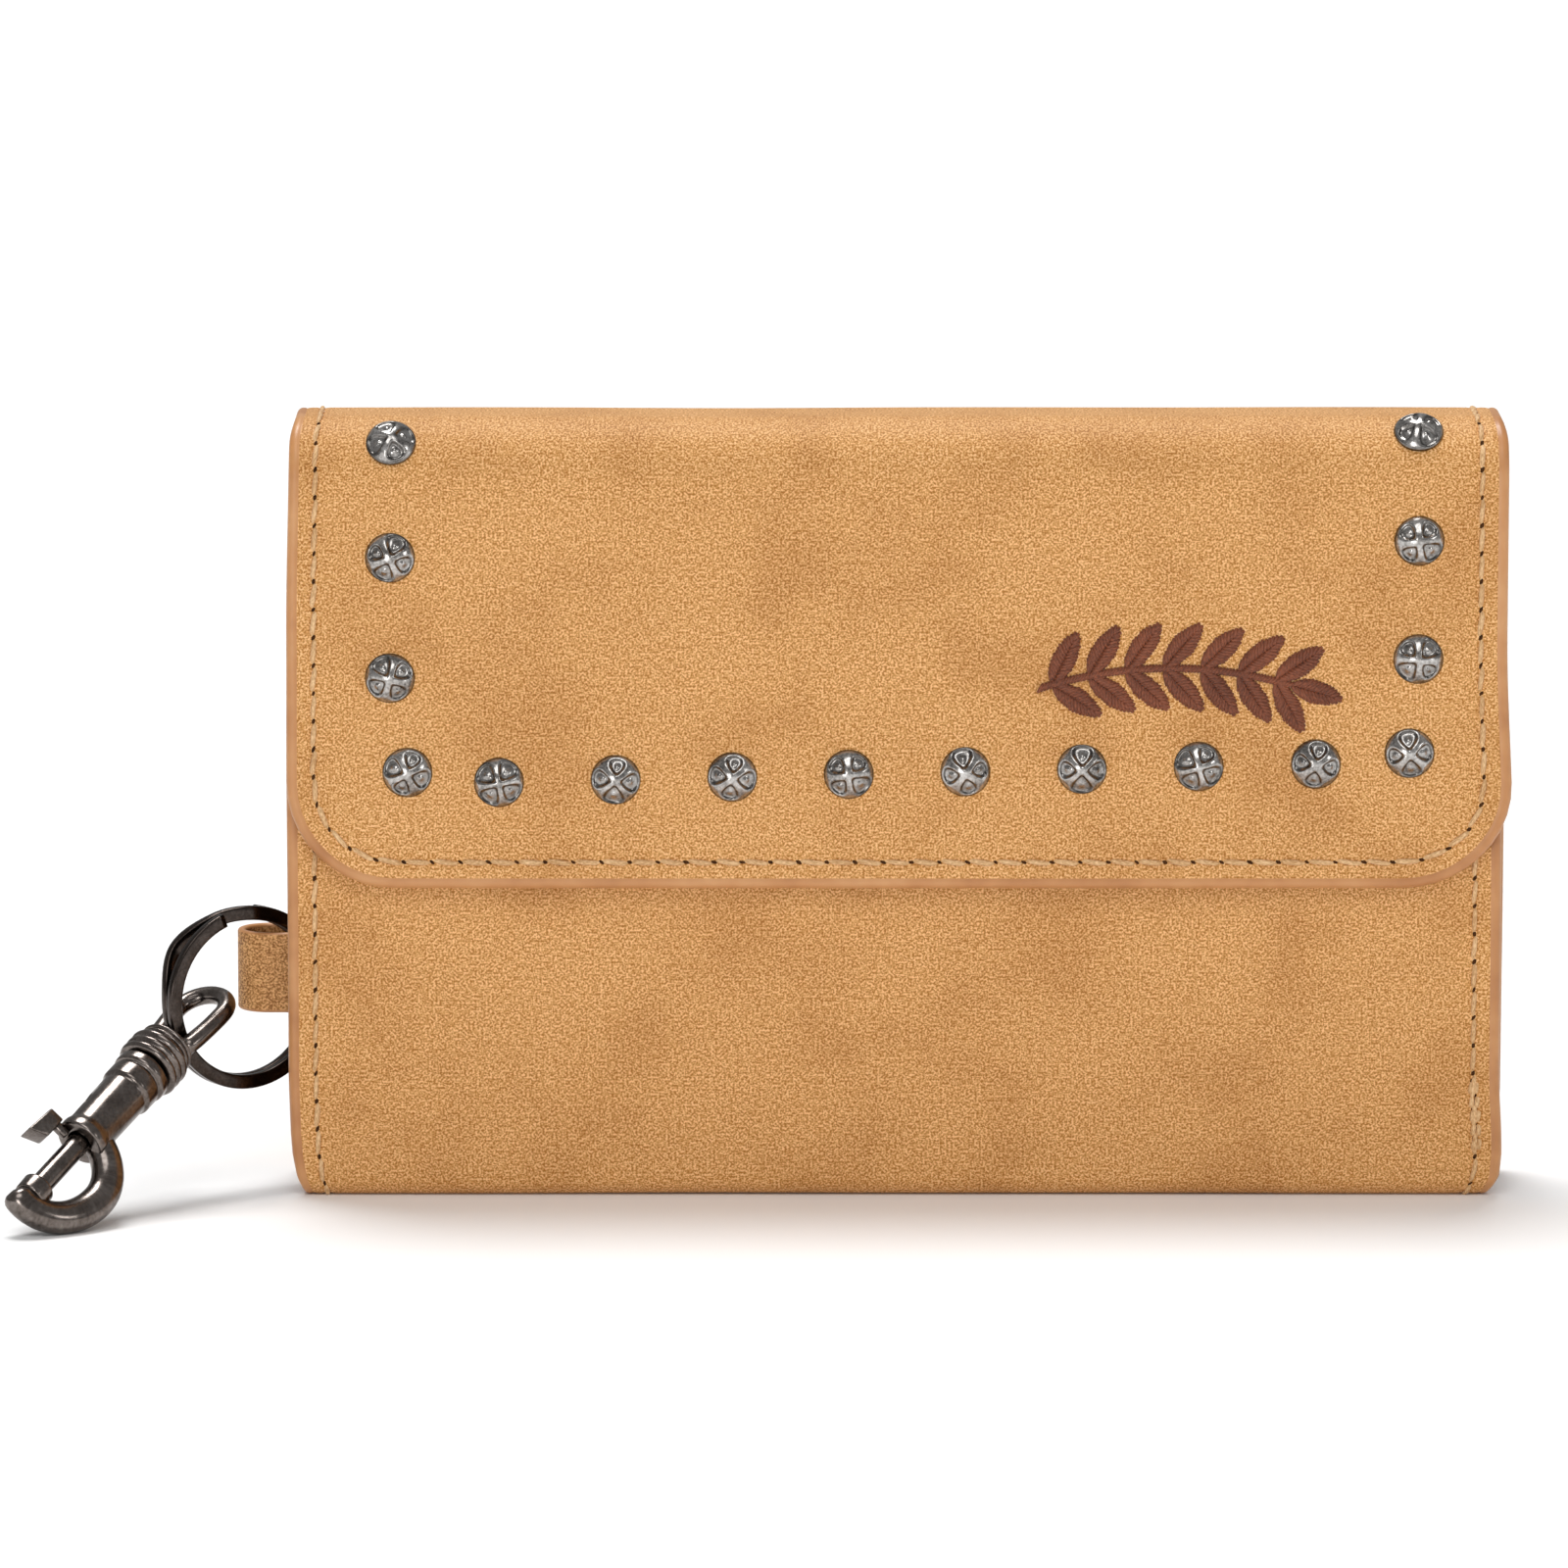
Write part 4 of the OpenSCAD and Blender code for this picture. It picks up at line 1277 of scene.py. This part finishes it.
path, sizes = [], []
for k in range(71):
    degrees = BEND_START + (BEND_END - BEND_START) * k / 70
    angle = math.radians(degrees)
    tall = BEND_R if degrees > 0 else BEND_LOW
    path.append(hook_matrix @ Vector((BEND_R * math.cos(angle), 0, BEND_Z + tall * math.sin(angle))))
    nose = max(0.0, (BEND_END + BEND_NOSE - degrees) / BEND_NOSE)
    taper = math.sqrt(max(0.03, 1 - nose ** 3))
    swell = 0.15 * hump(degrees + 10, 60)
    sizes.append((taper * (2.25 + swell), taper * (2.15 - swell)))
heap = Heap()
add_sweep(heap, path, circle_loop(28), hook_matrix.to_3x3() @ Vector((0, 1, 0)), sizes=sizes)
heap.turn([(0, SEAT_Z - 2.6), (2.3, SEAT_Z - 2.6), (SEAT_R, SEAT_Z), (BOLT_R + 0.25, SEAT_Z),
           (BOLT_R + 0.25, SEAT_Z - 0.8), (0, SEAT_Z - 0.8)], hook_matrix, 36, 0.3)
metal_piece(heap, "hook_crescent", "hook", "hook_body")

heap = Heap()
heap.turn([(0, SEAT_Z - 0.6), (BOLT_R, SEAT_Z - 0.6), (BOLT_R, BOLT_TOP), (0, BOLT_TOP)],
          hook_matrix, round_by=0.25)
metal_piece(heap, "gate_bolt", "bolt", "bolt_rod")

heap = Heap()
heap.add(*block([(-3.9, STEM_Z + 0.6), (-6.2, STEM_Z + 0.6), (-6.6, STEM_Z - 4.6), (-3.9, STEM_Z - 3.2)],
                KNOB_HALF))
heap.turn([(0, 2.0), (STEM_R, 2.0), (STEM_R, 4.2), (0, 4.2)], sideways(0, STEM_Z), 16)
knob = metal_piece(heap, "thumb_piece", "bolt", "thumb_knob")
soften = knob.modifiers.new("soften", "BEVEL")
soften.width = 0.28 * MM
soften.segments = 3
soften.limit_method = "ANGLE"

SPRING_R = 1.35
SPRING_WIRE = 0.22
SPRING_TURNS = 5
SPRING_TOP = -12.3
SPRING_LOW = -19.9

path = []
spring_steps = SPRING_TURNS * 20
for k in range(spring_steps + 1):
    angle = 2 * math.pi * SPRING_TURNS * k / spring_steps
    level = SPRING_TOP + (SPRING_LOW - SPRING_TOP) * k / spring_steps
    path.append(hook_matrix @ Vector((SPRING_R * math.cos(angle), SPRING_R * math.sin(angle), level)))
heap = Heap()
add_sweep(heap, path, circle_loop(8, SPRING_WIRE), hook_up)
spring = metal_piece(heap, "coil_spring", "hook", "bolt_spring")
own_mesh(spring)


# ---- Pockets and zip ----

HEM_W = 2.4
HEM_STEP = 0.08
PLATE_CORNER = 1.4


def outline(low, high, inset):
    """Points around a rectangle in X and Z with round corners, drawn in by inset."""
    wide, tall = high.x - low.x - 2 * inset, high.z - low.z - 2 * inset
    loop = box_loop(wide, tall, max(PLATE_CORNER - inset, 0.2), 5)
    return [((low.x + high.x) / 2 + a, (low.z + high.z) / 2 + b) for a, b in loop]


def rim_rings(low, high):
    """(inset, y) of the rings over a sheet's hemmed front face, round rim and back face."""
    radius, middle = (high.y - low.y) / 2, (low.y + high.y) / 2
    face = [(HEM_W + 0.3, radius - HEM_STEP), (HEM_W, radius - HEM_STEP), (HEM_W - 0.2, radius)]
    front = [(inset, middle - far) for inset, far in face]
    turn = [math.pi * k / 8 for k in range(9)]
    rim = [(radius * (1 - math.sin(a)), middle - radius * math.cos(a)) for a in turn]
    return front + rim + [(inset, middle + far) for inset, far in reversed(face)]


def add_sheet(heap, low, high, window=None):
    """A hemmed sheet between two corners, with a window between two others if they are given."""
    rings = [[Vector((x, y, z)) for x, z in outline(low, high, inset)] for inset, y in rim_rings(low, high)]
    if window:
        for inset, y in reversed(rim_rings(low, high)[2:-2]):
            rings.append([Vector((x, y, z)) for x, z in outline(*window, -inset)])
    sides = len(rings[0])
    heap.add([point for ring in rings for point in ring], tube_faces(len(rings), sides, closed=bool(window)))


def sheet_put(face_y, way):
    """Turns (x, z) and a depth below a sheet's face into a point. way is 1 where the face looks to -Y."""
    return lambda x, z, depth: Vector((x, face_y + way * depth, z))


def add_sheet_seam(heap, line, put, pitch=3.2):
    """Stitches with small gaps between them along a line of (x, z) places on a sheet's face."""
    spots = resample(line, pitch)
    for a, b in zip(spots, spots[1:]):
        gap = (b - a) * 0.12
        add_strand(heap, a + gap, b - gap, 0.24, 0.2, -0.06, 5, 6, put)


def edge_line(low, high, inset):
    """The sides and the foot of a sheet, as a line for a seam."""
    return [(low.x + inset, high.z - inset), (low.x + inset, low.z + inset),
            (high.x - inset, low.z + inset), (high.x - inset, high.z - inset)]


def sheet_piece(name, body, node, material, slot, way=1, window=None, extra=()):
    """A CAD sheet as a hemmed one with seams on the face that looks out of the open wallet."""
    low, high = box_mm(node)
    sheet = Heap()
    add_sheet(sheet, low, high, window)
    fit(sheet.piece(name, [material]), body, slot, node)
    put = sheet_put(low.y if way > 0 else high.y, way)
    top = [(low.x + 2.6, high.z - 1.5), (high.x - 2.6, high.z - 1.5)]
    seams = Heap()
    for line in [edge_line(low, high, 1.2), top, *extra]:
        add_sheet_seam(seams, line, put)
    fit(seams.piece(name + "_stitches", [THREAD]), body, "thread")


CARD_COLUMN = 15
card_tops = [box_mm("card_slot_%d" % index)[1].z for index in range(1, 5)]
for index in range(1, 5):
    low, high = box_mm("card_slot_%d" % index)
    column_foot = card_tops[index] if index < 4 else low.z + 2.6
    column = [(CARD_COLUMN, high.z - 2.2), (CARD_COLUMN, column_foot + 0.3)]
    sheet_piece("card_pocket_%d" % index, "back_body", "card_slot_%d" % index, POCKET_LEATHER,
                "pocket_leather", extra=[column])

ZIP_Z = (box_mm("zip_teeth")[0].z + box_mm("zip_teeth")[1].z) / 2
ZIP_HALF = box_mm("zip_teeth")[1].x
zip_low = Vector((-ZIP_HALF - 3, 0, ZIP_Z - 4))
zip_high = Vector((ZIP_HALF + 3, 0, ZIP_Z + 4))
around_zip = outline(zip_low, zip_high, -1.7)
sheet_piece("bill_sheet", "back_body", "bill_divider", POUCH_CLOTH, "lining")
sheet_piece("pouch_front", "back_body", "coin_pouch_front", POUCH_CLOTH, "lining",
            window=(zip_low, zip_high), extra=[around_zip + around_zip[:1]])
pouch_low, pouch_high = box_mm("coin_pouch_gusset")
wall = Vector((2.5, 0, 2.5))
walls = Heap()
add_sheet(walls, pouch_low, pouch_high, (pouch_low + wall, pouch_high - wall))
fit(walls.piece("pouch_walls", [POUCH_CLOTH]), "back_body", "lining", "coin_pouch_gusset")

WINDOW_INSET = 3
film_low, film_high = box_mm("window_film")
margin = Vector((WINDOW_INSET, 0, WINDOW_INSET))
window = (film_low + margin, film_high - margin)
around_window = outline(*window, -1.4)
sheet_piece("panel_pocket", "front_panel", "front_pocket", POCKET_LEATHER, "pocket_leather", way=-1)
sheet_piece("card_window", "front_panel", "window_frame", POCKET_LEATHER, "pocket_leather", way=-1,
            window=window, extra=[around_window + around_window[:1]])


def dress(material, *nodes):
    """Gives CAD nodes a material."""
    for node in nodes:
        for slot in frame["nodes"][node].material_slots:
            slot.material = material


dress(SEAM_LEATHER, "pocket_seams", "front_pocket_seams")
dress(TAPE, "zip_tapes")
dress(ZIP_METAL, "zip_teeth", "zip_stops", "zip_slider", "zip_pull")
dress(CLASP_METAL, "snap_stud", "snap_socket", "stud_burrs")
dress(FILM, "window_film")


# ---- Floor, light and camera ----

def add_light(light, energy, direction, at=(0, 0, 0)):
    light.energy = energy
    lamp = bpy.data.objects.new(light.name, light)
    lamp.location = at
    lamp.rotation_euler = Vector(direction).to_track_quat("-Z", "Y").to_euler()
    show(lamp)


def area_light(name, at, size, energy):
    """A square light at a place in metres, turned to the middle of the wallet."""
    light = bpy.data.lights.new(name, "AREA")
    light.size = size
    add_light(light, energy, Vector((0, 0, 0.05)) - Vector(at), at)


def sun_light(name, direction, degrees, energy):
    light = bpy.data.lights.new(name, "SUN")
    light.angle = math.radians(degrees)
    add_light(light, energy, direction)


ROOM_LIGHT = 0.32
FLOOR_HALF = 12
floor_mesh = bpy.data.meshes.new("floor")
floor_corners = [(x * FLOOR_HALF, y * FLOOR_HALF, 0) for x, y in ((-1, -1), (1, -1), (1, 1), (-1, 1))]
floor_mesh.from_pydata(floor_corners, [], [[0, 1, 2, 3]])
floor = bpy.data.objects.new("floor", floor_mesh)
show(floor)
pale = Shader("pale_floor", 0.9, Specular_IOR_Level=0.05)
pale.colour(pale.ramp(pale.noise(0.5), (0.0, (0.94, 0.94, 0.94)), (1.0, (0.96, 0.96, 0.96))))
floor.data.materials.append(pale.material)

world = bpy.data.worlds.new("soft_room")
world.use_nodes = True
background = world.node_tree.nodes["Background"]
background.inputs["Color"].default_value = (1, 1, 1, 1)
background.inputs["Strength"].default_value = ROOM_LIGHT
bpy.context.scene.world = world

sun_light("behind", (0.1, -0.26, -1), 26, 2.2)
sun_light("above", (0.05, 0.85, -1), 34, 0.75)
area_light("key", (-0.3, -1.0, 0.1), 0.25, 1.5)
area_light("side", (0.9, -0.55, 0.35), 0.2, 0.8)
bpy.context.scene.view_settings.view_transform = "Standard"

CAMERA_ELEVATION = math.radians(9)
CAMERA_DISTANCE = 1.6
VIEW_WIDTH = 0.2190
target = Vector((-0.0158, -0.009, 0.0587))
camera_data = bpy.data.cameras.new("camera")
camera_data.lens = camera_data.sensor_width * CAMERA_DISTANCE / VIEW_WIDTH
camera = bpy.data.objects.new("camera", camera_data)
back = Vector((0, -math.cos(CAMERA_ELEVATION), math.sin(CAMERA_ELEVATION)))
camera.location = target + back * CAMERA_DISTANCE
camera.rotation_euler = (-back).to_track_quat("-Z", "Y").to_euler()
show(camera)
bpy.context.scene.camera = camera
